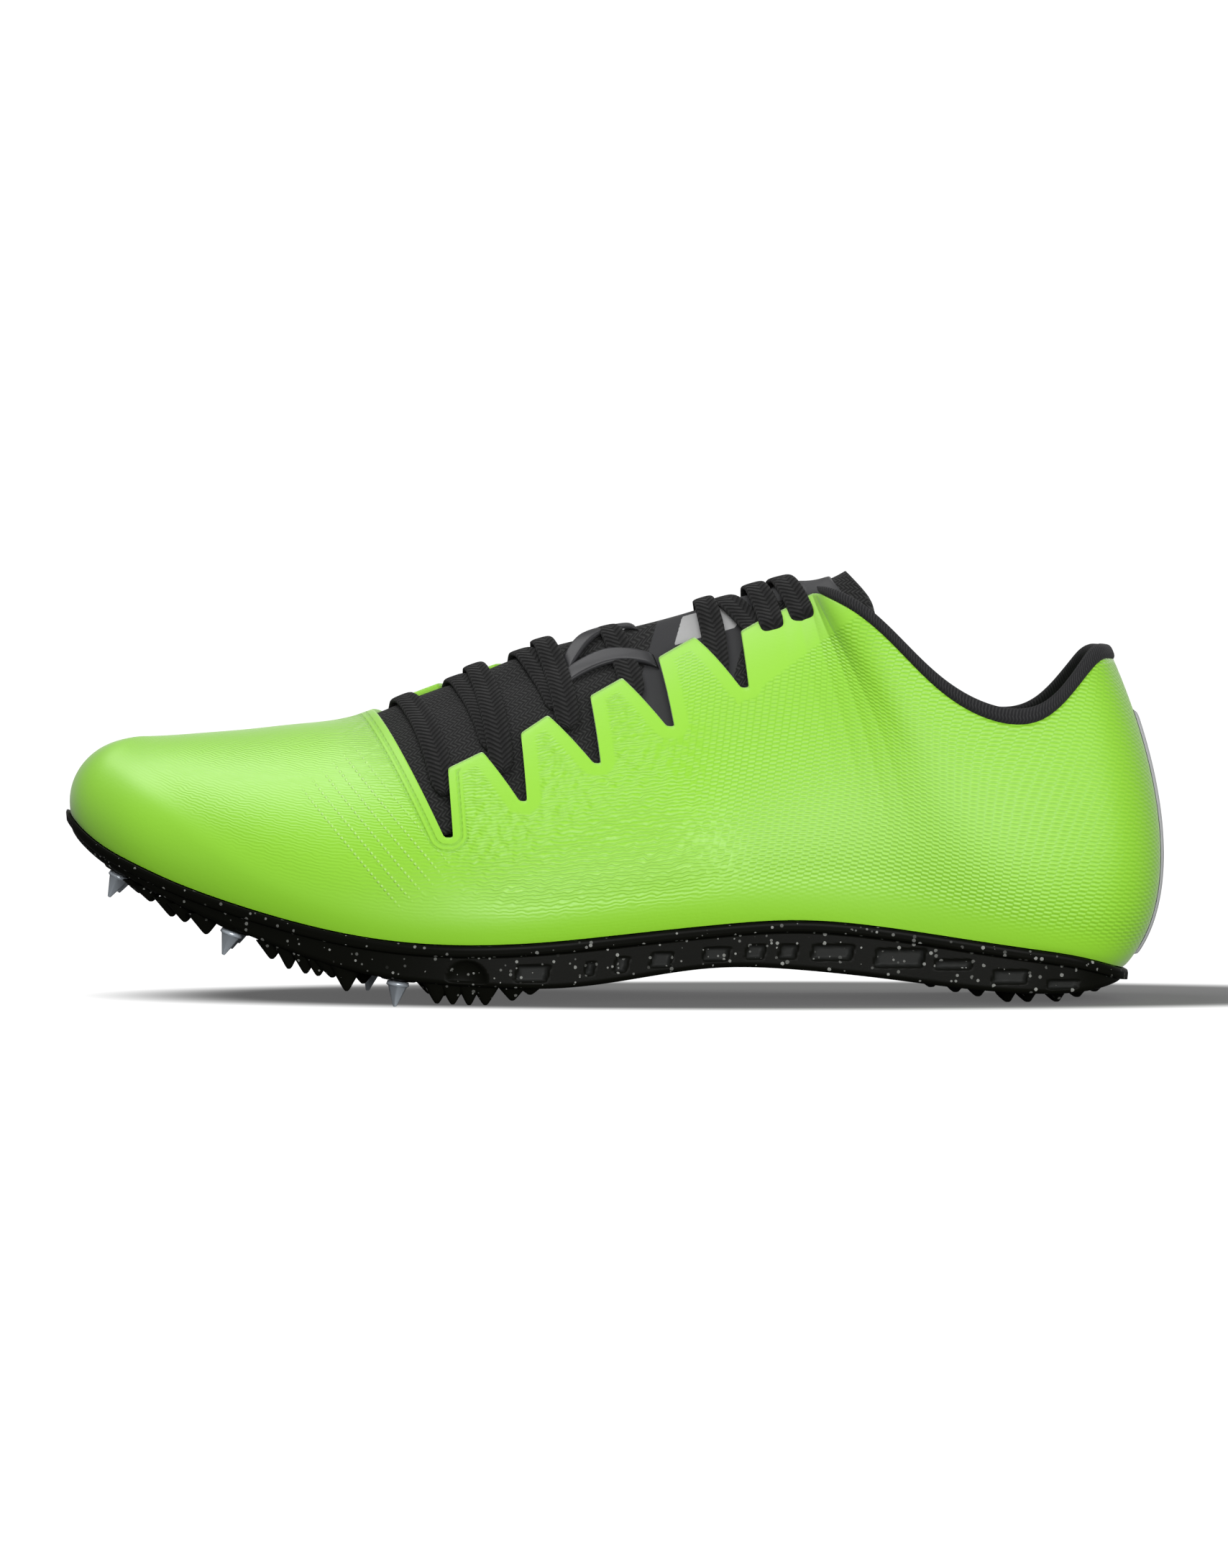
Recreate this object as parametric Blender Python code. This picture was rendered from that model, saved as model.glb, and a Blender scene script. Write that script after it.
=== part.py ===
"""Track spike shoe for the left foot. Metres, +Z up, toe towards -X, outer side towards -Y."""
import math

import bmesh
import bpy
import numpy as np
from mathutils import Matrix

MM = 0.001

# Sizes of the last
LENGTH = 280 * MM
BALL_WIDTH = 96 * MM
INSTEP_HEIGHT = 107.5 * MM
HEEL_HEIGHT = 87.5 * MM
TOE_HEIGHT = 67.2 * MM
STACK = 16 * MM
TOE_SPRING = 32 * MM

# Walls and clearances
WALL = 1.6 * MM
RAND_STEP = 0.5 * MM
GAP = 0.3 * MM
FACET = 0.75 * MM
TONGUE_WALL = 1.8 * MM
PATCH_WALL = 0.8 * MM
STRIP_WALL = 0.7 * MM
STRIP_WIDTH = 6 * MM
KEEPER_WALL = 1.0 * MM
INSOLE_WALL = 3.0 * MM
BINDING_HEIGHT = 4.0 * MM
BINDING_WIDTH = 3.4 * MM
EYELET_WIDTH = 5.0 * MM
LACE_WIDTH = 6.3 * MM
LACE_WALL = 1.4 * MM

# Sole, lugs and pins
RIM_REACH = 1.5 * MM
RIM_HEIGHT = 2.6 * MM
RECESS = 1.4 * MM
SOLE_CHAMFER = 1.2 * MM
WINDOW_DEPTH = 1.5 * MM
WINDOW_HEIGHT = 3.8 * MM
WINDOW_DROP = 4.0 * MM
LUG_LENGTH = 3.6 * MM
LUG_WIDTH = 5.0 * MM
LUG_HEIGHT = 3.6 * MM
LUG_PITCH = 4.6 * MM
LUG_INSET = 6.0 * MM
LUG_FLOOR = 0.8 * MM
LUG_ROOT = 1.0 * MM
LUG_ROWS = ((-1, LUG_INSET), (1, LUG_INSET), (-1, 4 * LUG_INSET))
LUG_FIRST = 0.055
LUG_LAST = 0.43
BAR_LENGTH = 5.4 * MM
BAR_INSET = 5.0 * MM
PIN_HEIGHT = 5.2 * MM
PIN_WIDTH = 4.4 * MM
PIN_TIP = 0.8 * MM
PIN_FLANGE = 7.0 * MM
PIN_FLANGE_HEIGHT = 1.2 * MM
PIN_CLEARANCE = 7.2 * MM
BOSS_WIDTH = 8.6 * MM
BOSS_HEIGHT = 0.5 * MM

# Side view of the sole: feather line and underside as shares of STACK and TOE_SPRING
SIDE_COLUMNS = ("along", "feather", "spring", "under")
SIDE = (
    (0.000, 1.00, 1.000, 0.72),
    (0.012, 1.00, 0.900, 0.72),
    (0.037, 1.00, 0.740, 0.71),
    (0.064, 1.00, 0.622, 0.70),
    (0.100, 1.00, 0.487, 0.66),
    (0.156, 1.00, 0.319, 0.59),
    (0.215, 1.00, 0.175, 0.50),
    (0.275, 1.00, 0.066, 0.42),
    (0.335, 1.00, 0.008, 0.38),
    (0.393, 1.00, 0.000, 0.33),
    (0.450, 1.05, 0.000, 0.31),
    (0.511, 1.15, 0.000, 0.42),
    (0.590, 1.28, 0.000, 0.60),
    (0.669, 1.35, 0.000, 0.56),
    (0.748, 1.23, 0.000, 0.41),
    (0.827, 1.02, 0.000, 0.24),
    (0.880, 0.88, 0.000, 0.175),
    (0.930, 0.72, 0.000, 0.20),
    (0.968, 0.52, 0.000, 0.33),
)

# Sections of the last, toe to heel: feather line in plan, then the top edge, then how full the wall is
# Plan places are shares of LENGTH and BALL_WIDTH; top heights are shares of the toe, instep and heel heights
SECTION_COLUMNS = (
    "along", "lateral", "medial", "top_along", "top_lateral", "top_medial",
    "toe", "instep", "heel", "foot_out", "foot_up", "crown", "swell", "drop",
)
SECTIONS = (
    (0.002, -0.104, 0.104, 0.064, -0.094, 0.094, 1.000, 0.000, 0.000, 0.10, 0.52, 0.66, 0.00, 0.00),
    (0.010, 0.010, 0.208, 0.067, -0.093, 0.093, 1.001, 0.000, 0.000, 0.10, 0.52, 0.64, 0.00, 0.00),
    (0.030, 0.094, 0.281, 0.076, -0.091, 0.091, 1.002, 0.000, 0.000, 0.10, 0.50, 0.62, 0.00, 0.00),
    (0.060, 0.177, 0.344, 0.096, -0.089, 0.089, 1.006, 0.000, 0.000, 0.10, 0.48, 0.60, 0.00, 0.00),
    (0.100, 0.250, 0.390, 0.128, -0.087, 0.087, 1.016, 0.000, 0.000, 0.10, 0.46, 0.59, 0.00, 0.00),
    (0.150, 0.323, 0.427, 0.168, -0.084, 0.084, 1.030, 0.000, 0.000, 0.11, 0.44, 0.58, 0.00, 0.00),
    (0.200, 0.380, 0.448, 0.208, -0.082, 0.082, 1.048, 0.000, 0.000, 0.12, 0.42, 0.57, 0.00, 0.00),
    (0.270, 0.437, 0.463, 0.262, -0.080, 0.080, 1.080, 0.000, 0.000, 0.13, 0.40, 0.55, 0.00, 0.00),
    (0.330, 0.463, 0.458, 0.308, -0.077, 0.077, 0.500, 0.409, 0.000, 0.14, 0.39, 0.53, 0.00, 0.00),
    (0.400, 0.469, 0.422, 0.366, -0.073, 0.073, 0.000, 0.776, 0.000, 0.15, 0.38, 0.52, 0.00, 0.00),
    (0.470, 0.443, 0.370, 0.428, -0.068, 0.068, 0.000, 0.828, 0.000, 0.16, 0.37, 0.52, 0.00, 0.00),
    (0.550, 0.396, 0.313, 0.497, -0.063, 0.063, 0.000, 0.873, 0.000, 0.16, 0.36, 0.53, 0.00, 0.00),
    (0.620, 0.354, 0.281, 0.560, -0.064, 0.064, 0.000, 0.914, 0.000, 0.14, 0.38, 0.58, 0.00, 0.00),
    (0.690, 0.325, 0.271, 0.628, -0.067, 0.067, 0.000, 0.966, 0.000, 0.12, 0.41, 0.66, 0.00, 0.00),
    (0.736, 0.315, 0.275, 0.683, -0.068, 0.068, 0.000, 1.000, 0.000, 0.11, 0.42, 0.70, 0.00, 0.00),
    (0.768, 0.312, 0.278, 0.686, 0.150, 0.245, 0.000, 0.966, 0.000, 0.11, 0.38, 0.50, 0.04, 0.14),
    (0.800, 0.312, 0.284, 0.722, 0.245, 0.275, 0.000, 0.750, 0.218, 0.11, 0.33, 0.32, 0.06, 0.24),
    (0.838, 0.309, 0.290, 0.775, 0.292, 0.297, 0.000, 0.400, 0.474, 0.12, 0.29, 0.20, 0.07, 0.32),
    (0.870, 0.303, 0.289, 0.822, 0.307, 0.303, 0.000, 0.150, 0.656, 0.13, 0.26, 0.20, 0.08, 0.35),
    (0.895, 0.290, 0.279, 0.870, 0.297, 0.293, 0.000, 0.000, 0.798, 0.14, 0.25, 0.20, 0.08, 0.36),
    (0.920, 0.264, 0.258, 0.905, 0.266, 0.262, 0.000, 0.000, 0.861, 0.15, 0.23, 0.20, 0.10, 0.38),
    (0.945, 0.208, 0.206, 0.935, 0.198, 0.198, 0.000, 0.000, 0.974, 0.17, 0.21, 0.20, 0.13, 0.40),
    (0.962, 0.115, 0.115, 0.952, 0.104, 0.104, 0.000, 0.000, 1.002, 0.19, 0.19, 0.20, 0.16, 0.40),
    (0.968, 0.000, 0.000, 0.959, 0.000, 0.000, 0.000, 0.000, 1.000, 0.19, 0.18, 0.20, 0.17, 0.40),
)

# Corners of the throat's edge, front to back: place on the outer side in shares of LENGTH and INSTEP_HEIGHT,
# and how far up the girth the same corner lies on the inner side
THROAT_COLUMNS = ("along", "height", "inner_girth")
THROAT = (
    (0.3525, 0.399, 0.560),
    (0.3590, 0.399, 0.560),
    (0.3484, 0.555, 0.900),
    (0.3836, 0.596, 0.915),
    (0.4200, 0.485, 0.640),
    (0.4225, 0.485, 0.640),
    (0.4086, 0.633, 0.915),
    (0.4421, 0.681, 0.925),
    (0.4862, 0.572, 0.670),
    (0.4888, 0.572, 0.670),
    (0.4763, 0.724, 0.920),
    (0.5092, 0.768, 0.925),
    (0.5520, 0.657, 0.690),
    (0.5546, 0.657, 0.690),
    (0.5421, 0.817, 0.910),
    (0.5750, 0.865, 0.900),
    (0.6184, 0.747, 0.720),
    (0.6210, 0.747, 0.720),
    (0.6164, 0.877, 0.890),
    (0.6316, 0.900, 0.890),
    (0.6559, 0.932, 0.870),
    (0.6783, 0.963, 0.840),
)
THROAT_START = 0.2796
TOOTH_LEAN = 0.003
EDGE_STEP = 0.15

# Top eyelets: place on the outer side in shares of LENGTH and INSTEP_HEIGHT
EYELETS = ((0.6467, 0.865), (0.6803, 0.912))

# Top of the toe rand up the girth, by share of the way round from toe to heel
RAND = ((0.00, 0.74), (0.05, 0.66), (0.10, 0.50), (0.15, 0.33), (0.20, 0.20), (0.26, 0.11), (0.34, 0.07), (1.00, 0.05))

# Lower edges of the tongue up the girth on both sides, by share of the way round
TONGUE_COLUMNS = ("round", "lateral", "medial")
TONGUE = ((0.28, 0.30, 0.50), (0.40, 0.36, 0.54), (0.55, 0.48, 0.58), (0.66, 0.56, 0.62), (0.76, 0.62, 0.66))
TONGUE_TUCK = 8 * MM
TONGUE_REACH = 12 * MM
TONGUE_RISE = 0.20
TONGUE_ROUND = 0.35
PATCH_SPAN = 0.020
PATCH_SPREAD = 0.30

# Windows in the side of the sole: first and last edge in shares of LENGTH
WINDOWS = (
    (0.414, 0.441), (0.474, 0.484), (0.502, 0.513), (0.534, 0.552), (0.582, 0.603), (0.620, 0.636),
    (0.650, 0.665), (0.679, 0.714), (0.736, 0.778), (0.790, 0.822), (0.842, 0.872), (0.892, 0.920),
)

# Heel bars: place in shares of LENGTH, and how far the tip stands off the floor in shares of STACK
BARS = (
    (0.789, 0.24), (0.811, 0.16), (0.833, 0.09), (0.855, 0.04), (0.878, 0.00),
    (0.904, 0.00), (0.923, 0.08), (0.940, 0.16),
)

# Pins: place in shares of LENGTH and BALL_WIDTH, and whether the tip stands on the floor
PINS = (
    (0.052, -0.06, False),
    (0.052, 0.24, False),
    (0.159, -0.28, False),
    (0.159, 0.34, False),
    (0.159, 0.04, False),
    (0.277, 0.36, True),
    (0.309, -0.37, True),
)

# Lace rows: outer end in side view as shares of LENGTH and INSTEP_HEIGHT, and where the row crosses the ridge
LACES = (
    (0.3309, 0.608, 0.300),
    (0.3914, 0.655, 0.370),
    (0.4513, 0.746, 0.434),
    (0.5059, 0.831, 0.490),
    (0.5901, 0.874, 0.587),
    (0.6467, 0.866, 0.624),
    (0.6735, 0.927, 0.657),
)
ROWS_OVER_UPPER = 2
LACE_PAST_RIDGE = 2.5 * MM
LACE_PAST_RIDGE_TOP = 7 * MM

# Lace keeper: first and last place round the last, and its two ends by the coordinate over the ridge
KEEPER_ROUND = (0.512, 0.556)
KEEPER_ACROSS = (-0.26, -0.06)

# Finishes: colour, roughness and metallic
LIME = ((0.30, 0.80, 0.03), 0.55, 0.0)
BLACK_CLOTH = ((0.012, 0.012, 0.014), 0.85, 0.0)
BLACK_PLATE = ((0.010, 0.010, 0.011), 0.38, 0.0)
GREY_PATCH = ((0.055, 0.055, 0.06), 0.40, 0.0)
GREY_STRIP = ((0.32, 0.33, 0.34), 0.35, 0.0)
STEEL = ((0.62, 0.66, 0.70), 0.25, 1.0)

# How finely the forms are divided
AHEAD_STEPS = 24
BEHIND_STEPS = 15
STATION_SPACE = 0.006
RAND_LEVELS = 2
WALL_LEVELS = 8
LACE_STEPS = 9
TONGUE_STEPS = 17
SOLE_STEPS = 48
INSOLE_STEPS = 30
FINE = 1e-4


def column(table, names, name):
    """One named column of a table as an array."""
    return np.array([row[names.index(name)] for row in table])


def fit(knots, values):
    """A natural cubic spline through the knots, as its knots, values and bends."""
    knots = np.asarray(knots, float)
    values = np.asarray(values, float)
    count = len(knots)
    span = np.diff(knots)
    slope = np.diff(values) / span
    system = np.eye(count)
    known = np.zeros(count)
    for row in range(1, count - 1):
        system[row, row - 1:row + 2] = span[row - 1], 2 * (span[row - 1] + span[row]), span[row]
        known[row] = 6 * (slope[row] - slope[row - 1])
    return knots, values, np.linalg.solve(system, known)


def read(fitted, at):
    """The fitted spline at the given places."""
    knots, values, bend = fitted
    at = np.asarray(at, float)
    i = np.clip(np.searchsorted(knots, at, side="right") - 1, 0, len(knots) - 2)
    span = knots[i + 1] - knots[i]
    near = (knots[i + 1] - at) / span
    far = 1 - near
    curve = (near**3 - near) * bend[i] + (far**3 - far) * bend[i + 1]
    return near * values[i] + far * values[i + 1] + curve * span**2 / 6


def section(name):
    """One column of the sections."""
    return column(SECTIONS, SECTION_COLUMNS, name)


# The collar starts at the highest section, and its corner is the next one
COLLAR_ROW = int(np.argmax(section("instep")))
CORNER_ROW = COLLAR_ROW + 1


def side_curve(name):
    """Height over the floor of one line of the sole's side view."""
    heights = STACK * column(SIDE, SIDE_COLUMNS, name) + TOE_SPRING * column(SIDE, SIDE_COLUMNS, "spring")
    return fit(column(SIDE, SIDE_COLUMNS, "along"), heights)


FEATHER = side_curve("feather")
UNDERSIDE = side_curve("under")


def feather_height(x):
    """Height of the feather line over the floor."""
    return read(FEATHER, x / LENGTH + 0.5)


def underside_height(x):
    """Height of the sole's bare underside over the floor."""
    return read(UNDERSIDE, x / LENGTH + 0.5)


def round_knots():
    """Share of the way round, toe to heel, of each section: mean chord length of both sides."""
    x = section("along") * LENGTH
    total = np.zeros(len(x))
    for side in ("lateral", "medial"):
        y = section(side) * BALL_WIDTH
        total[1:] += np.cumsum(np.hypot(np.diff(x), np.diff(y)))
    return total / total[-1]


KNOTS = round_knots()
COLLAR_FRONT = KNOTS[COLLAR_ROW]
CORNER = KNOTS[CORNER_ROW]


def wrap(place):
    """A place round the last, brought into -1 to 1: the outer side is below 0, the toe is 0, the heel is 1."""
    return np.mod(np.asarray(place, float) + 1, 2) - 1


def ring(outer, inner):
    """A closed spline round the last through the outer side's and the inner side's values."""
    knots = np.concatenate((-KNOTS[:0:-1], KNOTS[:-1]))
    values = np.concatenate((outer[:0:-1], inner[:-1]))
    knots = np.concatenate((knots - 2, knots, knots + 2))
    return fit(knots, np.tile(values, 3))


RINGS = {name: ring(section(name), section(name)) for name in ("along", "foot_out", "foot_up", "crown", "swell", "drop")}
RINGS["across"] = ring(-section("lateral"), section("medial"))


def feather_point(place):
    """Feather line in plan."""
    return (read(RINGS["along"], place) - 0.5) * LENGTH, read(RINGS["across"], place) * BALL_WIDTH


def outward(place):
    """Unit vector in plan, square to the feather line and pointing out."""
    x0, y0 = feather_point(wrap(place - FINE))
    x1, y1 = feather_point(wrap(place + FINE))
    size = np.hypot(x1 - x0, y1 - y0)
    return -(y1 - y0) / size, (x1 - x0) / size


def top_heights():
    """Height of the top edge at each section."""
    return TOE_HEIGHT * section("toe") + INSTEP_HEIGHT * section("instep") + HEEL_HEIGHT * section("heel")


def ridge_splines():
    """Splines of the ridge, toe to collar: along, across and height, the same from both sides."""
    rows = slice(0, COLLAR_ROW + 1)
    half = KNOTS[rows]
    knots = np.concatenate((-half[:0:-1], half))
    columns = (section("top_along")[rows], section("top_medial")[rows], top_heights()[rows])
    return [fit(knots, np.concatenate((values[:0:-1], values))) for values in columns]


def collar_splines():
    """Splines of the collar's edge by the way back from the heel: along, across and height."""
    rows = slice(COLLAR_ROW, len(SECTIONS))
    back = 1 - KNOTS[rows]
    knots = np.concatenate((-back, back[-2::-1]))
    x, z = section("top_along")[rows], top_heights()[rows]
    outer, inner = -section("top_lateral")[rows], section("top_medial")[rows]
    return [fit(knots, np.concatenate((a, b[-2::-1]))) for a, b in ((x, x), (outer, inner), (z, z))]


RIDGE = ridge_splines()
COLLAR = collar_splines()


def ridge_point(place):
    """Ridge of the last ahead of the collar."""
    x, y, z = (read(fitted, np.abs(place)) for fitted in RIDGE)
    return (x - 0.5) * LENGTH, y * BALL_WIDTH, z


def collar_point(place):
    """Collar's edge, from the front over the heel to the front again."""
    x, y, z = (read(fitted, np.where(place < 0, -1.0, 1.0) * (1 - np.abs(place))) for fitted in COLLAR)
    return (x - 0.5) * LENGTH, y * BALL_WIDTH, z


def top_point(place):
    """Top end of the wall: on the ridge ahead of the collar, on the collar's edge behind it."""
    ridge = ridge_point(np.clip(place, -COLLAR_FRONT, COLLAR_FRONT))
    collar = collar_point(np.where(np.abs(place) > COLLAR_FRONT, place, np.sign(place) * COLLAR_FRONT))
    ahead = np.abs(place) <= COLLAR_FRONT
    return [np.where(ahead, a, b) for a, b in zip(ridge, collar)]


def ridge_slope(place):
    """Rise of the ridge per run, level again behind the collar's front."""
    at = np.clip(np.abs(place), 0.02, COLLAR_FRONT - 2 * FINE)
    x0, _, z0 = ridge_point(at - FINE)
    x1, _, z1 = ridge_point(at + FINE)
    return np.where(np.abs(place) <= COLLAR_FRONT, (z1 - z0) / (x1 - x0), 0.0)


def form(place, girth):
    """Outer surface of the last: a cubic curve from the feather line (girth 0) to the top edge (girth 1)."""
    place, girth = np.broadcast_arrays(wrap(place), np.asarray(girth, float))
    fx, fy = feather_point(place)
    fz = feather_height(fx)
    tx, ty, tz = top_point(place)
    nx, ny = outward(place)
    height = tz - fz
    reach = (fx - tx) * nx + (fy - ty) * ny
    foot_out = read(RINGS["foot_out"], place) * height
    foot_up = read(RINGS["foot_up"], place) * height
    top_out = read(RINGS["crown"], place) * reach + read(RINGS["swell"], place) * height
    drop = read(RINGS["drop"], place) * height
    slope = ridge_slope(place)
    start = np.stack((fx, fy, fz), -1)
    low = start + np.stack((nx * foot_out, ny * foot_out, foot_up), -1)
    end = np.stack((tx, ty, tz), -1)
    high = end + np.stack((nx * top_out, ny * top_out, nx * top_out * slope - drop), -1)
    t = girth[..., None]
    return (1 - t)**3 * start + 3 * (1 - t)**2 * t * low + 3 * (1 - t) * t**2 * high + t**3 * end


def skin(place, girth, lift):
    """The form lifted off itself along its normal."""
    place, girth = np.broadcast_arrays(np.asarray(place, float), np.asarray(girth, float))
    step = 20 * FINE
    low = np.maximum(girth - step, 0.0)
    up = form(place, low + step) - form(place, low)
    beside = np.minimum(girth, 1 - 10 * step)
    side = form(place + step, beside) - form(place - step, beside)
    normal = np.cross(up, side)
    normal /= np.linalg.norm(normal, axis=-1, keepdims=True)
    return form(place, girth) + normal * np.asarray(lift)[..., None]


def arch(place, across, lift):
    """The lifted form by a coordinate that runs over the ridge: -1 outer feather, 0 ridge, 1 inner feather."""
    place, across = np.broadcast_arrays(np.asarray(place, float), np.asarray(across, float))
    return skin(np.where(across < 0, -place, place), 1 - np.abs(across), lift)


def locate(x, z):
    """Place and girth of a point on the outer side, given in side view."""
    places, girths = np.meshgrid(np.linspace(-CORNER, -0.05, 160), np.linspace(0, 1, 90), indexing="ij")
    points = form(places, girths)
    best = np.argmin((points[..., 0] - x)**2 + (points[..., 2] - z)**2)
    place = places.flat[best]
    girth = girths.flat[best]
    for _ in range(4):
        here = form(place, girth)
        along = (form(place + FINE, girth) - here) / FINE
        up = (form(place, girth - FINE) - here) / -FINE
        system = np.array(((along[0], up[0]), (along[2], up[2])))
        step = np.linalg.solve(system, (x - here[0], z - here[2]))
        place += step[0]
        girth += step[1]
    return abs(place), min(girth, 1.0)


def throat_edges():
    """Places of the throat's corners round the last, with their girth on the outer and the inner side."""
    start = np.interp(THROAT_START, section("top_along")[:COLLAR_ROW + 1], KNOTS[:COLLAR_ROW + 1])
    rows = [(start, 1.0, 1.0)]
    for along, height, inner in THROAT:
        place, girth = locate((along - 0.5) * LENGTH, height * INSTEP_HEIGHT)
        corner = (max(place, rows[-1][0] + TOOTH_LEAN), girth, inner)
        pieces = math.ceil(abs(girth - rows[-1][1]) / EDGE_STEP)
        start = np.array(rows[-1])
        rows.extend(start + (np.array(corner) - start) * share for share in np.linspace(0, 1, pieces + 1)[1:])
    rows.append((CORNER, 1.0, 1.0))
    return np.array(rows)


EDGES = throat_edges()


def top_girth(place):
    """How far up the girth the upper reaches: 1 where the throat doesn't cut it."""
    outer = np.interp(np.abs(place), EDGES[:, 0], EDGES[:, 1])
    inner = np.interp(np.abs(place), EDGES[:, 0], EDGES[:, 2])
    return np.where(place < 0, outer, inner)


def rand_girth(place):
    """Top of the rand up the girth."""
    knots, values = zip(*RAND)
    return np.interp(np.abs(place), knots, values)


def material(name, finish):
    """A principled material of the given colour, roughness and metallic."""
    made = bpy.data.materials.new(name)
    made.use_nodes = True
    shader = made.node_tree.nodes["Principled BSDF"]
    colour, roughness, metallic = finish
    shader.inputs["Base Color"].default_value = (*colour, 1)
    shader.inputs["Roughness"].default_value = roughness
    shader.inputs["Metallic"].default_value = metallic
    return made


def solid(name, points, faces, finish):
    """One closed body, its faces turned out."""
    mesh = bpy.data.meshes.new(name)
    mesh.from_pydata([tuple(point) for point in points], [], faces)
    bm = bmesh.new()
    bm.from_mesh(mesh)
    bmesh.ops.recalc_face_normals(bm, faces=bm.faces)
    bmesh.ops.triangulate(bm, faces=bm.faces)
    bm.to_mesh(mesh)
    bm.free()
    mesh.shade_smooth()
    mesh.set_sharp_from_angle(angle=math.radians(40))
    mesh.materials.append(finish)
    item = bpy.data.objects.new(name, mesh)
    bpy.context.scene.collection.objects.link(item)
    return item


def slab_faces(rows, columns):
    """Faces of a closed slab: its high grid, its low grid and its four edges."""
    def at(layer, i, j):
        return (layer * rows + i) * columns + j

    faces = []
    for i in range(rows - 1):
        for j in range(columns - 1):
            faces.append((at(0, i, j), at(0, i + 1, j), at(0, i + 1, j + 1), at(0, i, j + 1)))
            faces.append((at(1, i, j), at(1, i, j + 1), at(1, i + 1, j + 1), at(1, i + 1, j)))
    for i in range(rows - 1):
        for j in (0, columns - 1):
            faces.append((at(0, i, j), at(1, i, j), at(1, i + 1, j), at(0, i + 1, j)))
    for j in range(columns - 1):
        for i in (0, rows - 1):
            faces.append((at(0, i, j), at(0, i, j + 1), at(1, i, j + 1), at(1, i, j)))
    return faces


def slab(name, high, low, finish):
    """A solid between two grids of points."""
    rows, columns = high.shape[:2]
    points = np.concatenate((high.reshape(-1, 3), low.reshape(-1, 3)))
    return solid(name, points, slab_faces(rows, columns), finish)


def sweep(name, rings, finish):
    """A solid through closed rings of points, with capped ends."""
    count, sides = rings.shape[:2]
    faces = []
    for i in range(count - 1):
        for j in range(sides):
            k = (j + 1) % sides
            faces.append((i * sides + j, i * sides + k, (i + 1) * sides + k, (i + 1) * sides + j))
    faces.append(tuple(range(sides)))
    faces.append(tuple(range((count - 1) * sides, count * sides)))
    return solid(name, rings.reshape(-1, 3), faces, finish)


def cut(item, cutter, operation):
    """Applies a Boolean of the cutter to the item and removes the cutter."""
    change = item.modifiers.new("cut", "BOOLEAN")
    change.operation = operation
    change.object = cutter
    change.solver = "EXACT"
    seen = item.evaluated_get(bpy.context.evaluated_depsgraph_get())
    mesh = bpy.data.meshes.new_from_object(seen)
    item.modifiers.clear()
    item.data = mesh
    bpy.data.objects.remove(cutter)


def upper_places():
    """Places round the last that the upper is divided at, with every corner of the throat among them."""
    fixed = EDGES[:, 0]
    ahead = np.linspace(0, CORNER, AHEAD_STEPS)
    behind = np.linspace(CORNER, 1, BEHIND_STEPS)
    regular = [place for place in (*ahead, *behind) if np.abs(fixed - place).min() > STATION_SPACE]
    return np.array(sorted(regular + list(fixed)))


def upper_levels(place):
    """Girths of the wall's levels at one place, with how far each stands proud."""
    edge = rand_girth(place)
    low = np.linspace(0, edge, RAND_LEVELS + 1)
    high = np.linspace(edge + RAND_STEP / BALL_WIDTH, top_girth(place), WALL_LEVELS)
    proud = np.concatenate((np.full(RAND_LEVELS + 1, RAND_STEP), np.zeros(WALL_LEVELS)))
    return np.concatenate((low, high)), proud


def make_upper(finish):
    """One wall round the last, its two sides joined along the ridge ahead of the throat."""
    half = upper_places()
    ring = np.concatenate((-half[:0:-1], half[:-1]))
    levels = np.array([upper_levels(place)[0] for place in ring])
    proud = np.array([upper_levels(place)[1] for place in ring])
    places = np.repeat(ring[:, None], levels.shape[1], 1)
    outer = skin(places, levels, proud)
    inner = skin(places, levels, np.full(levels.shape, -WALL))
    for wall in (outer, inner):
        wall[:, 0, 2] = feather_height(wall[:, 0, 0])
    stations, tall = levels.shape
    points = np.concatenate((outer.reshape(-1, 3), inner.reshape(-1, 3)))
    names = np.arange(len(points)).reshape(2, stations, tall)
    joined = np.abs(ring) <= EDGES[0, 0] + FINE
    for i in np.flatnonzero(joined & (ring > 0)):
        twin = int(np.argmin(np.abs(ring + ring[i])))
        names[:, i, -1] = names[:, twin, -1]
    faces = []
    for i in range(stations):
        k = (i + 1) % stations
        for j in range(tall - 1):
            faces.append((names[0, i, j], names[0, k, j], names[0, k, j + 1], names[0, i, j + 1]))
            faces.append((names[1, i, j], names[1, i, j + 1], names[1, k, j + 1], names[1, k, j]))
        faces.append((names[0, i, 0], names[1, i, 0], names[1, k, 0], names[0, k, 0]))
        if not (joined[i] and joined[k]):
            faces.append((names[0, i, -1], names[0, k, -1], names[1, k, -1], names[1, i, -1]))
    used = np.unique([n for face in faces for n in face])
    fresh = {old: new for new, old in enumerate(used)}
    faces = [tuple(fresh[n] for n in face) for face in faces]
    item = solid("upper", points[used], faces, finish)
    for mark in eyelet_marks():
        cut(item, eyelet_cutter(mark), "DIFFERENCE")
    return item


def eyelet_marks():
    """Middle and normal of each top eyelet, on both sides."""
    marks = []
    for along, height in EYELETS:
        place, girth = locate((along - 0.5) * LENGTH, height * INSTEP_HEIGHT)
        for side in (-1, 1):
            middle = skin(side * place, girth, 0.0)
            marks.append((middle, skin(side * place, girth, 1.0) - middle))
    return marks


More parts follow.
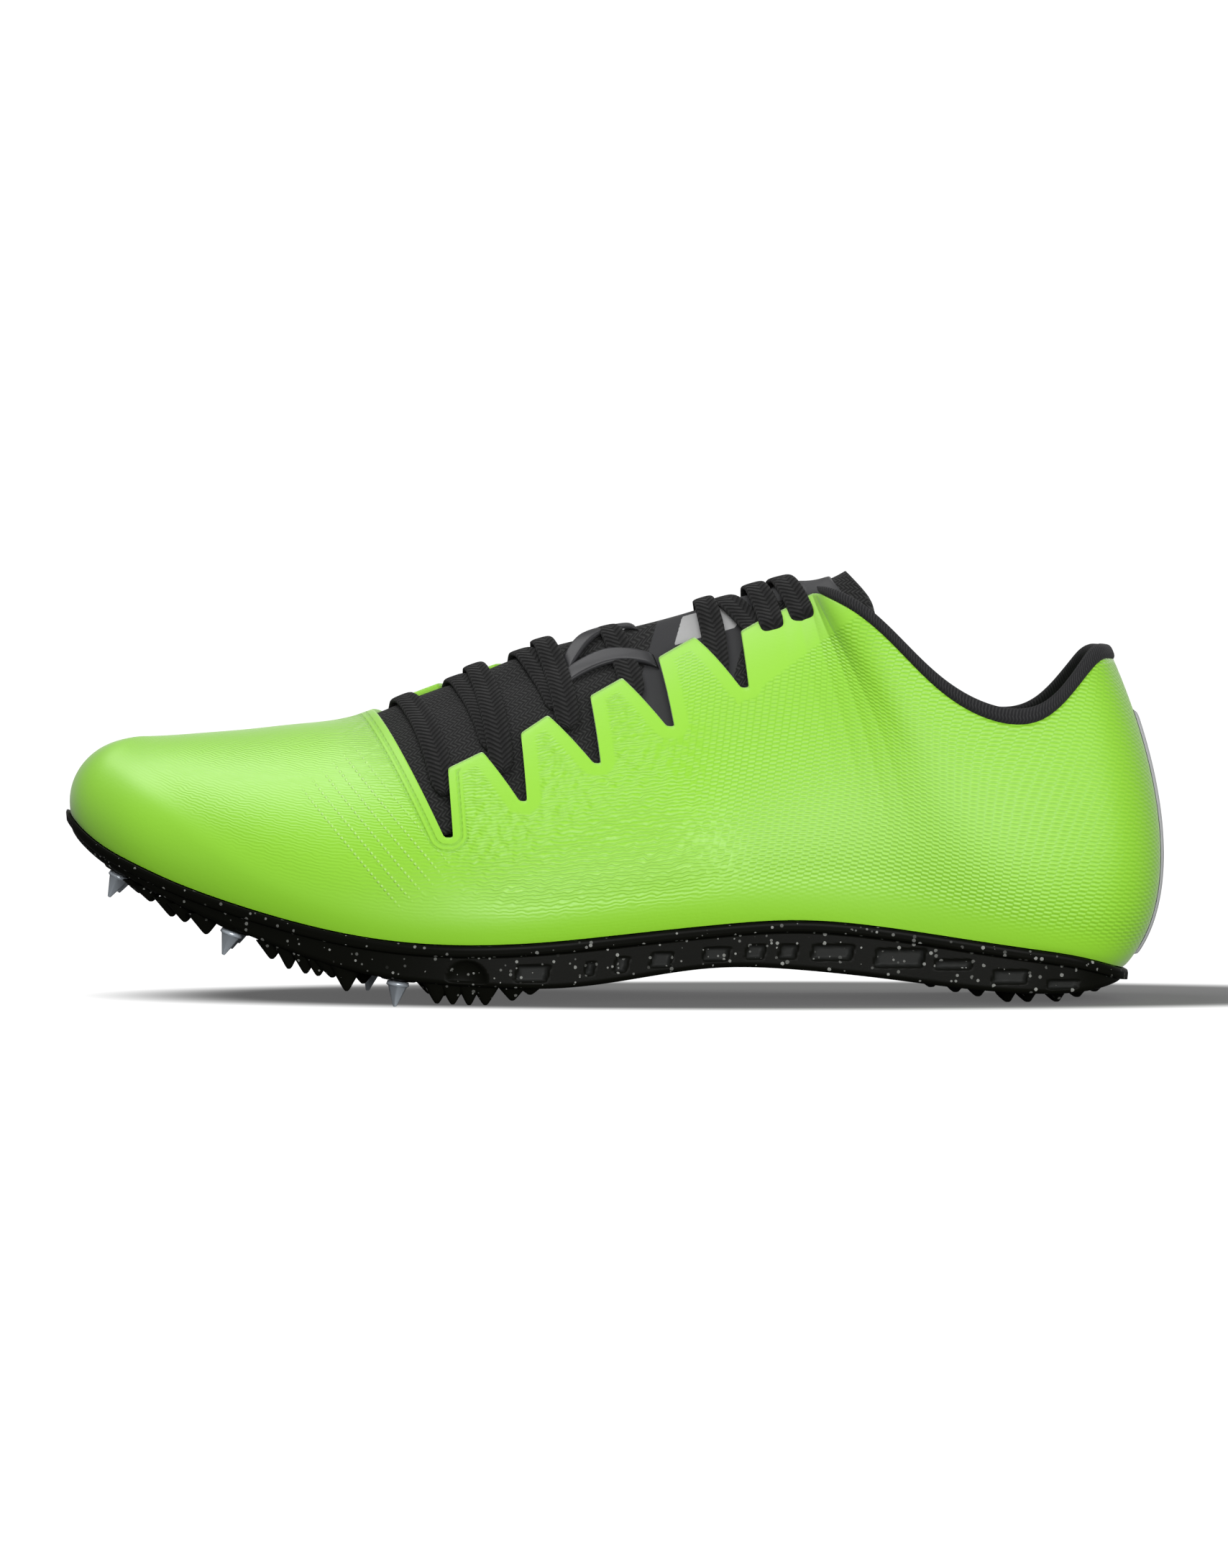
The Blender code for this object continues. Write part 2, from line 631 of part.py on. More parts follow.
def eyelet_cutter(mark):
    """A short round bar through the wall."""
    middle, normal = mark
    bm = bmesh.new()
    radius = EYELET_WIDTH / 2
    bmesh.ops.create_cone(bm, cap_ends=True, segments=10, radius1=radius, radius2=radius, depth=6 * WALL)
    z = normal / np.linalg.norm(normal)
    x = np.cross((0, 1, 0.3), z)
    x /= np.linalg.norm(x)
    y = np.cross(z, x)
    axis = Matrix(((x[0], y[0], z[0]), (x[1], y[1], z[1]), (x[2], y[2], z[2]))).to_4x4()
    bmesh.ops.transform(bm, matrix=Matrix.Translation(middle) @ axis, verts=bm.verts)
    mesh = bpy.data.meshes.new("eyelet cutter")
    bm.to_mesh(mesh)
    bm.free()
    item = bpy.data.objects.new("eyelet cutter", mesh)
    item.hide_render = True
    item.display_type = "WIRE"
    bpy.context.scene.collection.objects.link(item)
    return item


def make_binding(finish):
    """A rolled band that sits on the collar's edge."""
    half = upper_places()
    half = np.concatenate(((CORNER + 8 * FINE,), half[half > CORNER + STATION_SPACE]))
    place = np.concatenate((half, 2 - half[-2::-1]))
    edge = skin(place, 1.0, -WALL / 2)
    low = skin(place, 1 - 20 * FINE, -WALL / 2)
    up = edge - low
    up /= np.linalg.norm(up, axis=-1, keepdims=True)
    out = skin(place, 1.0, 1.0) - skin(place, 1.0, 0.0)
    middle = edge + up * (GAP + BINDING_HEIGHT / 2)
    rings = []
    for turn in np.arange(8) * math.tau / 8 + math.tau / 16:
        across = math.copysign(abs(math.cos(turn))**0.6, math.cos(turn)) * BINDING_WIDTH / 2
        along = math.copysign(abs(math.sin(turn))**0.6, math.sin(turn)) * BINDING_HEIGHT / 2
        rings.append(middle + out * across + up * along)
    return sweep("collar_binding", np.stack(rings, 1), finish)


def make_strip(finish):
    """A thin strip down the middle of the heel."""
    half = STRIP_WIDTH / 2 / (2 * LENGTH)
    place = 1 + np.linspace(-half, half, 5) * 2
    girth = np.linspace(rand_girth(1.0) + 0.02, 0.86, 14)
    places, girths = np.meshgrid(place, girth, indexing="ij")
    high = skin(places, girths, np.full(places.shape, GAP + STRIP_WALL))
    low = skin(places, girths, np.full(places.shape, GAP))
    return slab("heel_strip", high, low, finish)


def tongue_edge(side, place):
    """Lower edge of the tongue up the girth."""
    return np.interp(place, column(TONGUE, TONGUE_COLUMNS, "round"), column(TONGUE, TONGUE_COLUMNS, side))


def tongue_grid(places, spread, lift):
    """Points of the tongue by place and by share of its width, lifted off the last's form."""
    rows = []
    for place in places:
        outer = -(1 - tongue_edge("lateral", place))
        inner = 1 - tongue_edge("medial", place)
        across = np.where(spread < 0, -spread * outer, spread * inner)
        rows.append(arch(np.full(across.shape, place), across, np.full(across.shape, lift)))
    return np.array(rows)


def extend(grid, spread, reach, steps):
    """Adds rows past the grid's last one, carried back and up, rounded off towards both edges."""
    rows = list(grid)
    run = reach * (1 - TONGUE_ROUND * np.abs(spread)**3)
    for step in range(1, steps + 1):
        share = step / steps
        moved = grid[-1] + np.stack((run * share, 0 * run, run * share * TONGUE_RISE), -1)
        rows.append(moved)
    return np.array(rows)


def make_tongue(finish):
    """The tongue under the throat, from its tuck under the vamp to its free top end."""
    tuck = EDGES[0, 0] - TONGUE_TUCK / LENGTH
    places = np.linspace(tuck, COLLAR_FRONT - 2 * FINE, TONGUE_STEPS)
    spread = np.linspace(-1, 1, 13)
    top = -(WALL + GAP + FACET)
    high = extend(tongue_grid(places, spread, top), spread, TONGUE_REACH, 3)
    low = extend(tongue_grid(places, spread, top - TONGUE_WALL), spread, TONGUE_REACH, 3)
    return slab("tongue", high, low, finish)


def make_patch(finish):
    """A smooth pad on the tongue's top end."""
    places = np.linspace(COLLAR_FRONT - PATCH_SPAN, COLLAR_FRONT - 2 * FINE, 3)
    spread = np.linspace(-PATCH_SPREAD, PATCH_SPREAD, 7)
    low = -(WALL + FACET)
    high = extend(tongue_grid(places, spread, low + PATCH_WALL), spread, TONGUE_REACH * 0.8, 3)
    under = extend(tongue_grid(places, spread, low), spread, TONGUE_REACH * 0.8, 3)
    return slab("tongue_patch", high, under, finish)


def make_keeper(finish):
    """A short band on the tongue that a lace row passes under."""
    places, across = np.meshgrid(np.linspace(*KEEPER_ROUND, 4), np.linspace(*KEEPER_ACROSS, 7), indexing="ij")
    low = LACE_WALL + GAP - WALL
    high = arch(places, across, np.full(places.shape, low + KEEPER_WALL))
    under = arch(places, across, np.full(places.shape, low))
    return slab("lace_keeper", high, under, finish)


def arch_seeds():
    """A coarse grid over the instep to start the search from: places, coordinates over the ridge and points."""
    places, across = np.meshgrid(np.linspace(0.2, COLLAR_FRONT, 50), np.linspace(-0.8, 0.8, 61), indexing="ij")
    return places, across, arch(places, across, np.zeros(places.shape))


def locate_plan(seeds, x, y):
    """Place and coordinate over the ridge of the point that lies at x, y in plan."""
    places, across, points = seeds
    best = np.argmin((points[..., 0] - x)**2 + (points[..., 1] - y)**2)
    place, over = places.flat[best], across.flat[best]
    flat = np.zeros(1)
    for _ in range(4):
        here = arch(place, over, flat)[0]
        turn = -FINE if over > 0 else FINE
        along = (arch(place - FINE, over, flat)[0] - here) / -FINE
        up = (arch(place, over - turn, flat)[0] - here) / -turn
        system = np.array(((along[0], up[0]), (along[1], up[1])))
        step = np.clip(np.linalg.solve(system, (x - here[0], y - here[1])), -0.02, 0.02)
        place = min(place + step[0], COLLAR_FRONT)
        over += step[1]
    return place, over


def lace_path(seeds, row, past):
    """Middle line of a lace row, straight in plan, as places and coordinates over the ridge."""
    along, height, ridge_along = row
    place, girth = locate((along - 0.5) * LENGTH, height * INSTEP_HEIGHT)
    outer = form(-place, girth)[:2]
    ridge_x = (ridge_along - 0.5) * LENGTH
    rows = slice(0, COLLAR_ROW + 1)
    ridge_y = np.interp(ridge_along, section("top_along")[rows], section("top_medial")[rows]) * BALL_WIDTH
    ridge = np.array((ridge_x, ridge_y))
    inner = ridge + (ridge - outer) * past / (ridge[1] - outer[1])
    found = [locate_plan(seeds, *(outer + (inner - outer) * share)) for share in np.linspace(0, 1, LACE_STEPS)]
    return np.array(found).T


def make_lace(name, path, lift, finish):
    """A flat lace across the throat, seated over the tongue."""
    places, across = path
    line = arch(places, across, np.full(places.shape, lift))
    ahead = np.gradient(line, axis=0)
    up = arch(places, across, np.full(places.shape, lift + MM)) - line
    up /= np.linalg.norm(up, axis=-1, keepdims=True)
    side = np.cross(ahead, up)
    side /= np.linalg.norm(side, axis=-1, keepdims=True)
    half = LACE_WIDTH / 2
    shape = ((-1, 0.5), (-0.85, 0), (0.85, 0), (1, 0.5), (0.85, 1), (-0.85, 1))
    rings = [line + side * half * across_share + up * LACE_WALL * up_share for across_share, up_share in shape]
    return sweep(name, np.stack(rings, 1), finish)


def make_laces(finish):
    """Every lace row; the last ones lie over the upper's top panel."""
    seeds = arch_seeds()
    for number, row in enumerate(LACES, 1):
        over = number > len(LACES) - ROWS_OVER_UPPER
        path = lace_path(seeds, row, LACE_PAST_RIDGE_TOP if over else LACE_PAST_RIDGE)
        make_lace(f"lace_row_{number}", path, GAP + FACET if over else -WALL, finish)


def outline(places, reach):
    """Feather line in plan, moved outwards."""
    x, y = feather_point(wrap(places))
    nx, ny = outward(wrap(places))
    return x + nx * reach, y + ny * reach


def loft(name, layers, finish):
    """A solid from rings that run round the last, outermost first: its ends are closed by strips across."""
    count = layers.shape[1]
    half = count // 2
    points = layers.reshape(-1, 3)
    faces = []
    for layer in range(len(layers) - 1):
        for i in range(count):
            k = (i + 1) % count
            low, high = layer * count, (layer + 1) * count
            faces.append((low + i, low + k, high + k, high + i))
    for start, turn in ((0, 1), ((len(layers) - 1) * count, -1)):
        for i in range(half):
            a, b = start + i, start + i + 1
            c, d = start + (count - i - 1) % count, start + (count - i) % count
            face = [a, b, c] if a == d else [a, b, d] if b == c else [a, b, c, d]
            if i == 0:
                face = [start, start + 1, start + count - 1]
            if i == half - 1:
                face = [start + i, start + i + 1, start + i + 2]
            faces.append(tuple(face[::turn]))
    return solid(name, points, faces, finish)


def ring_places(steps):
    """Places right round the last from the toe: the outer side to the heel, then the inner side back."""
    share = np.linspace(0, 1, steps + 1)
    return np.concatenate((-share, share[-2:0:-1]))


def sole_layers(places):
    """Rings of the sole's side from the top edge down: rim, recess, lower wall and underside."""
    steps = (
        (RIM_REACH * 0.6, 0.0, None),
        (RIM_REACH, RIM_HEIGHT * 0.3, None),
        (RIM_REACH, RIM_HEIGHT, None),
        (RIM_REACH - RECESS, RIM_HEIGHT + 0.2 * RECESS, None),
        (RIM_REACH - RECESS, None, SOLE_CHAMFER),
        (RIM_REACH - RECESS - SOLE_CHAMFER, None, 0.0),
    )
    layers = []
    for reach, down, up in steps:
        x, y = outline(places, reach)
        z = feather_height(x) - GAP - down if up is None else underside_height(x) + up
        layers.append(np.stack((x, y, z), -1))
    return np.array(layers)


BOX_FACES = ((0, 1, 3, 2), (4, 6, 7, 5), (0, 4, 5, 1), (2, 3, 7, 6), (0, 2, 6, 4), (1, 5, 7, 3))


def cutter(name, shapes):
    """Closed eight-cornered shapes joined in one hidden object."""
    points = [point for shape in shapes for point in shape]
    faces = [tuple(8 * n + k for k in face) for n in range(len(shapes)) for face in BOX_FACES]
    item = solid(name, points, faces, None)
    item.hide_render = True
    item.display_type = "WIRE"
    return item


def side_place(along, side):
    """Place round the last whose feather point lies at the given share of the length."""
    return side * float(np.interp(along, section("along"), KNOTS))


def window_cutters():
    """A slanted box for each window, dug into the side of the sole from both sides."""
    shapes = []
    for first, last in WINDOWS:
        for side in (-1, 1):
            corners = []
            for along in (first, last):
                place = side_place(along, side)
                x, y = outline(np.array([place]), RIM_REACH - RECESS)
                nx, ny = outward(np.array([place]))
                top = feather_height(x[0]) - WINDOW_DROP
                low = max(top - WINDOW_HEIGHT, underside_height(x[0]) + SOLE_CHAMFER)
                for reach in (-WINDOW_DEPTH, 2 * RECESS):
                    for z in (low, top):
                        corners.append((x[0] + nx[0] * reach, y[0] + ny[0] * reach, z))
            shapes.append(corners)
    return cutter("window cutter", shapes)


def lug(x, y, tip, length, width, flat):
    """A wedge under the sole: a wide root inside it and a narrow tip below."""
    root = underside_height(x) + LUG_ROOT
    shape = []
    for sx in (-1, 1):
        for sy in (-1, 1):
            shape.append((x + sx * flat / 2, y + sy * width * 0.36, tip))
            shape.append((x + sx * length / 2, y + sy * width / 2, root))
    return shape


def lug_places():
    """Places of the small wedges: both edges of the forefoot and a row between, clear of pins and each other."""
    pins = [((along - 0.5) * LENGTH, across * BALL_WIDTH) for along, across, _ in PINS]
    places = []
    for side, inset in LUG_ROWS:
        count = int((LUG_LAST - LUG_FIRST) * LENGTH / LUG_PITCH)
        for along in np.linspace(LUG_FIRST, LUG_LAST, count):
            x, y = outline(np.array([side_place(along, side)]), -inset)
            near_pin = any(abs(x[0] - a) < PIN_CLEARANCE and abs(y[0] - b) < PIN_CLEARANCE for a, b in pins)
            near_lug = any(abs(x[0] - a) < LUG_PITCH * 0.95 and abs(y[0] - b) < LUG_WIDTH + GAP for a, b in places)
            if not near_pin and not near_lug:
                places.append((x[0], y[0]))
    return places


def edge_lugs():
    """Rows of small wedges under the forefoot."""
    shapes = []
    for x, y in lug_places():
        tip = max(underside_height(x) - LUG_HEIGHT, LUG_FLOOR)
        shapes.append(lug(x, y, tip, LUG_LENGTH, LUG_WIDTH, 0.25 * LUG_LENGTH))
    return cutter("lugs", shapes)


def heel_bars():
    """Wedges across the heel, two of them flat on the floor."""
    shapes = []
    for along, rise in BARS:
        _, outer = outline(np.array([side_place(along, -1)]), -BAR_INSET)
        _, inner = outline(np.array([side_place(along, 1)]), -BAR_INSET)
        x = (along - 0.5) * LENGTH
        shapes.append(lug(x, (outer[0] + inner[0]) / 2, rise * STACK, BAR_LENGTH, inner[0] - outer[0], 0.4 * BAR_LENGTH))
    return cutter("heel bars", shapes)


def pin_frame(row):
    """Where a pin's tip is and how it leans: square to the underside, with the boss that it hangs from."""
    along, across, stands = row
    x = (along - 0.5) * LENGTH
    slope = float(np.gradient(underside_height(np.array((x - MM, x, x + MM))), MM)[1])
    lean = math.atan(-slope)
    reach = PIN_HEIGHT + PIN_FLANGE_HEIGHT + GAP
    heel_of_tip = PIN_TIP / 2 * abs(math.tan(lean))
    boss = underside_height(x) / math.cos(lean) - heel_of_tip - reach if stands else BOSS_HEIGHT
    middle = np.array((x, across * BALL_WIDTH, underside_height(x)))
    down = np.array((-math.sin(lean), 0, -math.cos(lean)))
    return middle, down, lean, boss


def round_bar(name, middle, down, start, end, width):
    """A short round bar along an axis, hidden, for joining to another piece."""
    bm = bmesh.new()
    bmesh.ops.create_cone(bm, cap_ends=True, segments=10, radius1=width / 2, radius2=width / 2, depth=end - start)
    turn = Matrix.Rotation(math.atan2(down[0], down[2]), 4, "Y")
    place = Matrix.Translation(middle + down * (start + end) / 2)
    bmesh.ops.transform(bm, matrix=place @ turn, verts=bm.verts)
    mesh = bpy.data.meshes.new(name)
    bm.to_mesh(mesh)
    bm.free()
    item = bpy.data.objects.new(name, mesh)
    item.hide_render = True
    item.display_type = "WIRE"
    bpy.context.scene.collection.objects.link(item)
    return item


def make_sole(finish):
    """The plate with its rim, windows, lugs, pin bosses and heel bars."""
    item = loft("sole", sole_layers(ring_places(SOLE_STEPS)), finish)
    cut(item, window_cutters(), "DIFFERENCE")
    cut(item, edge_lugs(), "UNION")
    cut(item, heel_bars(), "UNION")
    for row in PINS:
        middle, down, _, boss = pin_frame(row)
        cut(item, round_bar("boss", middle, down, -LUG_ROOT, boss, BOSS_WIDTH), "UNION")
    return item


def make_insole(finish):
    """A thin sheet on the sole, inside the upper's wall."""
    places = ring_places(INSOLE_STEPS)
    inset = -(WALL + 2 * GAP)
    layers = []
    for reach, up in ((inset, GAP + INSOLE_WALL), (inset, 0.0)):
        x, y = outline(places, reach)
        layers.append(np.stack((x, y, feather_height(x) + up), -1))
    return loft("insole", np.array(layers), finish)


def make_pin(name, row, finish):
    """A steel pyramid with a round flange, seated under its boss."""
    middle, down, lean, boss = pin_frame(row)
    tip = middle + down * (boss + GAP + PIN_FLANGE_HEIGHT + PIN_HEIGHT)
    bm = bmesh.new()
    half = PIN_FLANGE / 2
    bmesh.ops.create_cone(bm, cap_ends=True, segments=8, radius1=half, radius2=half, depth=PIN_FLANGE_HEIGHT)
    bmesh.ops.translate(bm, vec=(0, 0, PIN_HEIGHT + PIN_FLANGE_HEIGHT / 2), verts=bm.verts)
    under = min(bm.faces, key=lambda face: face.calc_center_median().z)
    bmesh.ops.inset_individual(bm, faces=[under], thickness=(PIN_FLANGE - PIN_WIDTH) / 2)
    point = bmesh.ops.extrude_discrete_faces(bm, faces=[under])["faces"][0]
    for vert in point.verts:
        vert.co = (vert.co.x * PIN_TIP / PIN_WIDTH, vert.co.y * PIN_TIP / PIN_WIDTH, 0)
    bmesh.ops.recalc_face_normals(bm, faces=bm.faces)
    bmesh.ops.transform(bm, matrix=Matrix.Translation(tip) @ Matrix.Rotation(lean, 4, "Y"), verts=bm.verts)
    mesh = bpy.data.meshes.new(name)
    bm.to_mesh(mesh)
    bm.free()
    mesh.materials.append(finish)
    item = bpy.data.objects.new(name, mesh)
    bpy.context.scene.collection.objects.link(item)
    return item


def settle():
    """Moves every piece so that the middle of the whole shoe's box stands over the origin."""
    corners = np.array([vert.co for item in bpy.data.objects for vert in item.data.vertices])
    middle = (corners.min(0) + corners.max(0)) / 2
    for item in bpy.data.objects:
        item.location.x -= middle[0]
        item.location.y -= middle[1]


def clear_scene():
    """Removes whatever the scene holds."""
    for item in list(bpy.data.objects):
        bpy.data.objects.remove(item)


def main():
    """Builds the shoe piece by piece."""
    clear_scene()
    lime = material("lime knit", LIME)
    cloth = material("black cloth", BLACK_CLOTH)
    plate = material("black plate", BLACK_PLATE)
    patch = material("grey patch", GREY_PATCH)
    strip = material("grey strip", GREY_STRIP)
    steel = material("steel", STEEL)
    make_upper(lime)
    make_binding(cloth)
    make_strip(strip)
    make_tongue(cloth)
    make_patch(patch)
    make_laces(cloth)
    make_keeper(patch)
    make_insole(cloth)
    make_sole(plate)
    for number, row in enumerate(PINS, 1):
        make_pin(f"pin_{number}", row, steel)
    settle()


main()
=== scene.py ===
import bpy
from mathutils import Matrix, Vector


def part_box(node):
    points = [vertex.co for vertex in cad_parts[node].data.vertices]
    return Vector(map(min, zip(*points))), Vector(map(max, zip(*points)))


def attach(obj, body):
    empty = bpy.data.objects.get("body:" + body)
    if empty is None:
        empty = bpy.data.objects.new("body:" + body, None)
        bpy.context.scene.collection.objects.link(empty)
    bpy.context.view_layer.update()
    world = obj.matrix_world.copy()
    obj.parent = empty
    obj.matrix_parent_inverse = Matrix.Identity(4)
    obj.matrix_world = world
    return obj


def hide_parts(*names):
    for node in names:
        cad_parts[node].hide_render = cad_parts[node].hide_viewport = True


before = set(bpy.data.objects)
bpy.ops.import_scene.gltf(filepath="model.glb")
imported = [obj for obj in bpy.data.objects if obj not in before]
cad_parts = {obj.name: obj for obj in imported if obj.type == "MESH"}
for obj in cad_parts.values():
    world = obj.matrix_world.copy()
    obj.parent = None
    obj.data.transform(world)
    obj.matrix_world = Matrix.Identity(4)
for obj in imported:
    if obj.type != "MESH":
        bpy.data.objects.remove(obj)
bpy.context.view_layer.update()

import math

import bmesh
import bpy
import numpy as np
from mathutils import Vector
from mathutils.kdtree import KDTree

MM = 0.001

# Sizes of the last, as in the part's source
LENGTH = 280 * MM
BALL_WIDTH = 96 * MM
INSTEP_HEIGHT = 107.5 * MM
HEEL_HEIGHT = 87.5 * MM
TOE_HEIGHT = 67.2 * MM
STACK = 16 * MM
TOE_SPRING = 32 * MM
WALL = 1.6 * MM
GAP = 0.3 * MM
RAND_STEP = 0.5 * MM
RIM_REACH = 1.5 * MM
RIM_HEIGHT = 2.6 * MM
RECESS = 1.4 * MM
SOLE_CHAMFER = 1.2 * MM

# Photograph to the row frame
PIXEL = 0.1842 * MM
PHOTO_MIDDLE = 853
PHOTO_FLOOR = 1390
PHOTO_SIZE = (1708, 2181)

SIDE_COLUMNS = ("along", "feather", "spring", "under")
SIDE = (
    (0.000, 1.00, 1.000, 0.72),
    (0.012, 1.00, 0.900, 0.72),
    (0.037, 1.00, 0.740, 0.71),
    (0.064, 1.00, 0.622, 0.70),
    (0.100, 1.00, 0.487, 0.66),
    (0.156, 1.00, 0.319, 0.59),
    (0.215, 1.00, 0.175, 0.50),
    (0.275, 1.00, 0.066, 0.42),
    (0.335, 1.00, 0.008, 0.38),
    (0.393, 1.00, 0.000, 0.33),
    (0.450, 1.05, 0.000, 0.31),
    (0.511, 1.15, 0.000, 0.42),
    (0.590, 1.28, 0.000, 0.60),
    (0.669, 1.35, 0.000, 0.56),
    (0.748, 1.23, 0.000, 0.41),
    (0.827, 1.02, 0.000, 0.24),
    (0.880, 0.88, 0.000, 0.175),
    (0.930, 0.72, 0.000, 0.20),
    (0.968, 0.52, 0.000, 0.33),
)
SECTION_COLUMNS = (
    "along", "lateral", "medial", "top_along", "top_lateral", "top_medial",
    "toe", "instep", "heel", "foot_out", "foot_up", "crown", "swell", "drop",
)
SECTIONS = (
    (0.002, -0.104, 0.104, 0.064, -0.094, 0.094, 1.000, 0.000, 0.000, 0.10, 0.52, 0.66, 0.00, 0.00),
    (0.010, 0.010, 0.208, 0.067, -0.093, 0.093, 1.001, 0.000, 0.000, 0.10, 0.52, 0.64, 0.00, 0.00),
    (0.030, 0.094, 0.281, 0.076, -0.091, 0.091, 1.002, 0.000, 0.000, 0.10, 0.50, 0.62, 0.00, 0.00),
    (0.060, 0.177, 0.344, 0.096, -0.089, 0.089, 1.006, 0.000, 0.000, 0.10, 0.48, 0.60, 0.00, 0.00),
    (0.100, 0.250, 0.390, 0.128, -0.087, 0.087, 1.016, 0.000, 0.000, 0.10, 0.46, 0.59, 0.00, 0.00),
    (0.150, 0.323, 0.427, 0.168, -0.084, 0.084, 1.030, 0.000, 0.000, 0.11, 0.44, 0.58, 0.00, 0.00),
    (0.200, 0.380, 0.448, 0.208, -0.082, 0.082, 1.048, 0.000, 0.000, 0.12, 0.42, 0.57, 0.00, 0.00),
    (0.270, 0.437, 0.463, 0.262, -0.080, 0.080, 1.080, 0.000, 0.000, 0.13, 0.40, 0.55, 0.00, 0.00),
    (0.330, 0.463, 0.458, 0.308, -0.077, 0.077, 0.500, 0.409, 0.000, 0.14, 0.39, 0.53, 0.00, 0.00),
    (0.400, 0.469, 0.422, 0.366, -0.073, 0.073, 0.000, 0.776, 0.000, 0.15, 0.38, 0.52, 0.00, 0.00),
    (0.470, 0.443, 0.370, 0.428, -0.068, 0.068, 0.000, 0.828, 0.000, 0.16, 0.37, 0.52, 0.00, 0.00),
    (0.550, 0.396, 0.313, 0.497, -0.063, 0.063, 0.000, 0.873, 0.000, 0.16, 0.36, 0.53, 0.00, 0.00),
    (0.620, 0.354, 0.281, 0.560, -0.064, 0.064, 0.000, 0.914, 0.000, 0.14, 0.38, 0.58, 0.00, 0.00),
    (0.690, 0.325, 0.271, 0.628, -0.067, 0.067, 0.000, 0.966, 0.000, 0.12, 0.41, 0.66, 0.00, 0.00),
    (0.736, 0.315, 0.275, 0.683, -0.068, 0.068, 0.000, 1.000, 0.000, 0.11, 0.42, 0.70, 0.00, 0.00),
    (0.768, 0.312, 0.278, 0.686, 0.150, 0.245, 0.000, 0.966, 0.000, 0.11, 0.38, 0.52, 0.04, 0.12),
    (0.800, 0.312, 0.284, 0.722, 0.245, 0.275, 0.000, 0.750, 0.218, 0.11, 0.34, 0.36, 0.06, 0.20),
    (0.838, 0.309, 0.290, 0.775, 0.292, 0.297, 0.000, 0.400, 0.474, 0.12, 0.30, 0.24, 0.07, 0.29),
    (0.870, 0.303, 0.289, 0.822, 0.307, 0.303, 0.000, 0.150, 0.656, 0.13, 0.26, 0.20, 0.08, 0.35),
    (0.895, 0.290, 0.279, 0.870, 0.297, 0.293, 0.000, 0.000, 0.798, 0.14, 0.25, 0.20, 0.08, 0.36),
    (0.920, 0.264, 0.258, 0.905, 0.266, 0.262, 0.000, 0.000, 0.861, 0.15, 0.23, 0.20, 0.10, 0.38),
    (0.945, 0.208, 0.206, 0.935, 0.198, 0.198, 0.000, 0.000, 0.974, 0.17, 0.21, 0.20, 0.13, 0.40),
    (0.962, 0.115, 0.115, 0.952, 0.104, 0.104, 0.000, 0.000, 1.002, 0.19, 0.19, 0.20, 0.16, 0.40),
    (0.968, 0.000, 0.000, 0.959, 0.000, 0.000, 0.000, 0.000, 1.000, 0.19, 0.18, 0.20, 0.17, 0.40),
)
COLLAR_ROW = 14
CORNER_ROW = 15

# Throat's corners: side-view pixels of the outer edge, and girth of the inner edge
THROAT = (
    (626, 1158, 0.560), (638, 1158, 0.560), (622.5, 1066, 0.985), (676, 1042, 0.995),
    (728, 1109, 0.640), (738, 1109, 0.640), (714, 1020.5, 0.985), (765, 992.5, 0.995),
    (828.5, 1058, 0.670), (838.5, 1058, 0.670), (817, 967.6, 0.980), (867, 941.5, 0.970),
    (928.5, 1008, 0.690), (939, 1008, 0.690), (917, 913.5, 0.880), (967, 885, 0.870),
    (1029.5, 956, 0.720), (1040, 956, 0.720), (1030, 878, 0.860), (1053, 865, 0.860),
    (1090, 845, 0.870), (1124, 826, 0.840),
)
THROAT_START = 0.2796
TOOTH_LEAN = 0.003
INNER_FORWARD = 0.030
FORWARD_FROM = 3
FORWARD_TO = 18
ROUNDING = 1.1 * MM

# Rand: place round the last and the girth that it reaches there
RAND = (
    (0.00, 0.74), (0.05, 0.66), (0.10, 0.50), (0.15, 0.33),
    (0.20, 0.20), (0.26, 0.11), (0.34, 0.07), (1.00, 0.05),
)

# Tongue: place, and the girth of its outer and inner edge there
TONGUE = (
    (0.28, 0.30, 0.50), (0.40, 0.36, 0.54), (0.55, 0.48, 0.58),
    (0.66, 0.56, 0.62), (0.76, 0.62, 0.66),
)
TONGUE_LIFT = -3.1 * MM
TONGUE_WALL = 1.8 * MM
LACE_WIDTH = 6.3 * MM
LACE_WALL = 1.5 * MM
FINE = 1e-4


def fit(knots, values):
    """A natural cubic spline through the knots, as its knots, values and bends."""
    knots = np.asarray(knots, float)
    values = np.asarray(values, float)
    count = len(knots)
    span = np.diff(knots)
    slope = np.diff(values) / span
    system = np.eye(count)
    known = np.zeros(count)
    for row in range(1, count - 1):
        system[row, row - 1:row + 2] = span[row - 1], 2 * (span[row - 1] + span[row]), span[row]
        known[row] = 6 * (slope[row] - slope[row - 1])
    return knots, values, np.linalg.solve(system, known)


def read(fitted, at):
    """The fitted spline at the given places."""
    knots, values, bend = fitted
    at = np.asarray(at, float)
    i = np.clip(np.searchsorted(knots, at, side="right") - 1, 0, len(knots) - 2)
    span = knots[i + 1] - knots[i]
    near = (knots[i + 1] - at) / span
    far = 1 - near
    curve = (near**3 - near) * bend[i] + (far**3 - far) * bend[i + 1]
    return near * values[i] + far * values[i + 1] + curve * span**2 / 6


def column(table, names, name):
    """One named column of a table as an array."""
    return np.array([row[names.index(name)] for row in table])


def section(name):
    """One column of the sections."""
    return column(SECTIONS, SECTION_COLUMNS, name)


def side_curve(name):
    """Height over the floor of one line of the sole's side view."""
    heights = STACK * column(SIDE, SIDE_COLUMNS, name) + TOE_SPRING * column(SIDE, SIDE_COLUMNS, "spring")
    return fit(column(SIDE, SIDE_COLUMNS, "along"), heights)


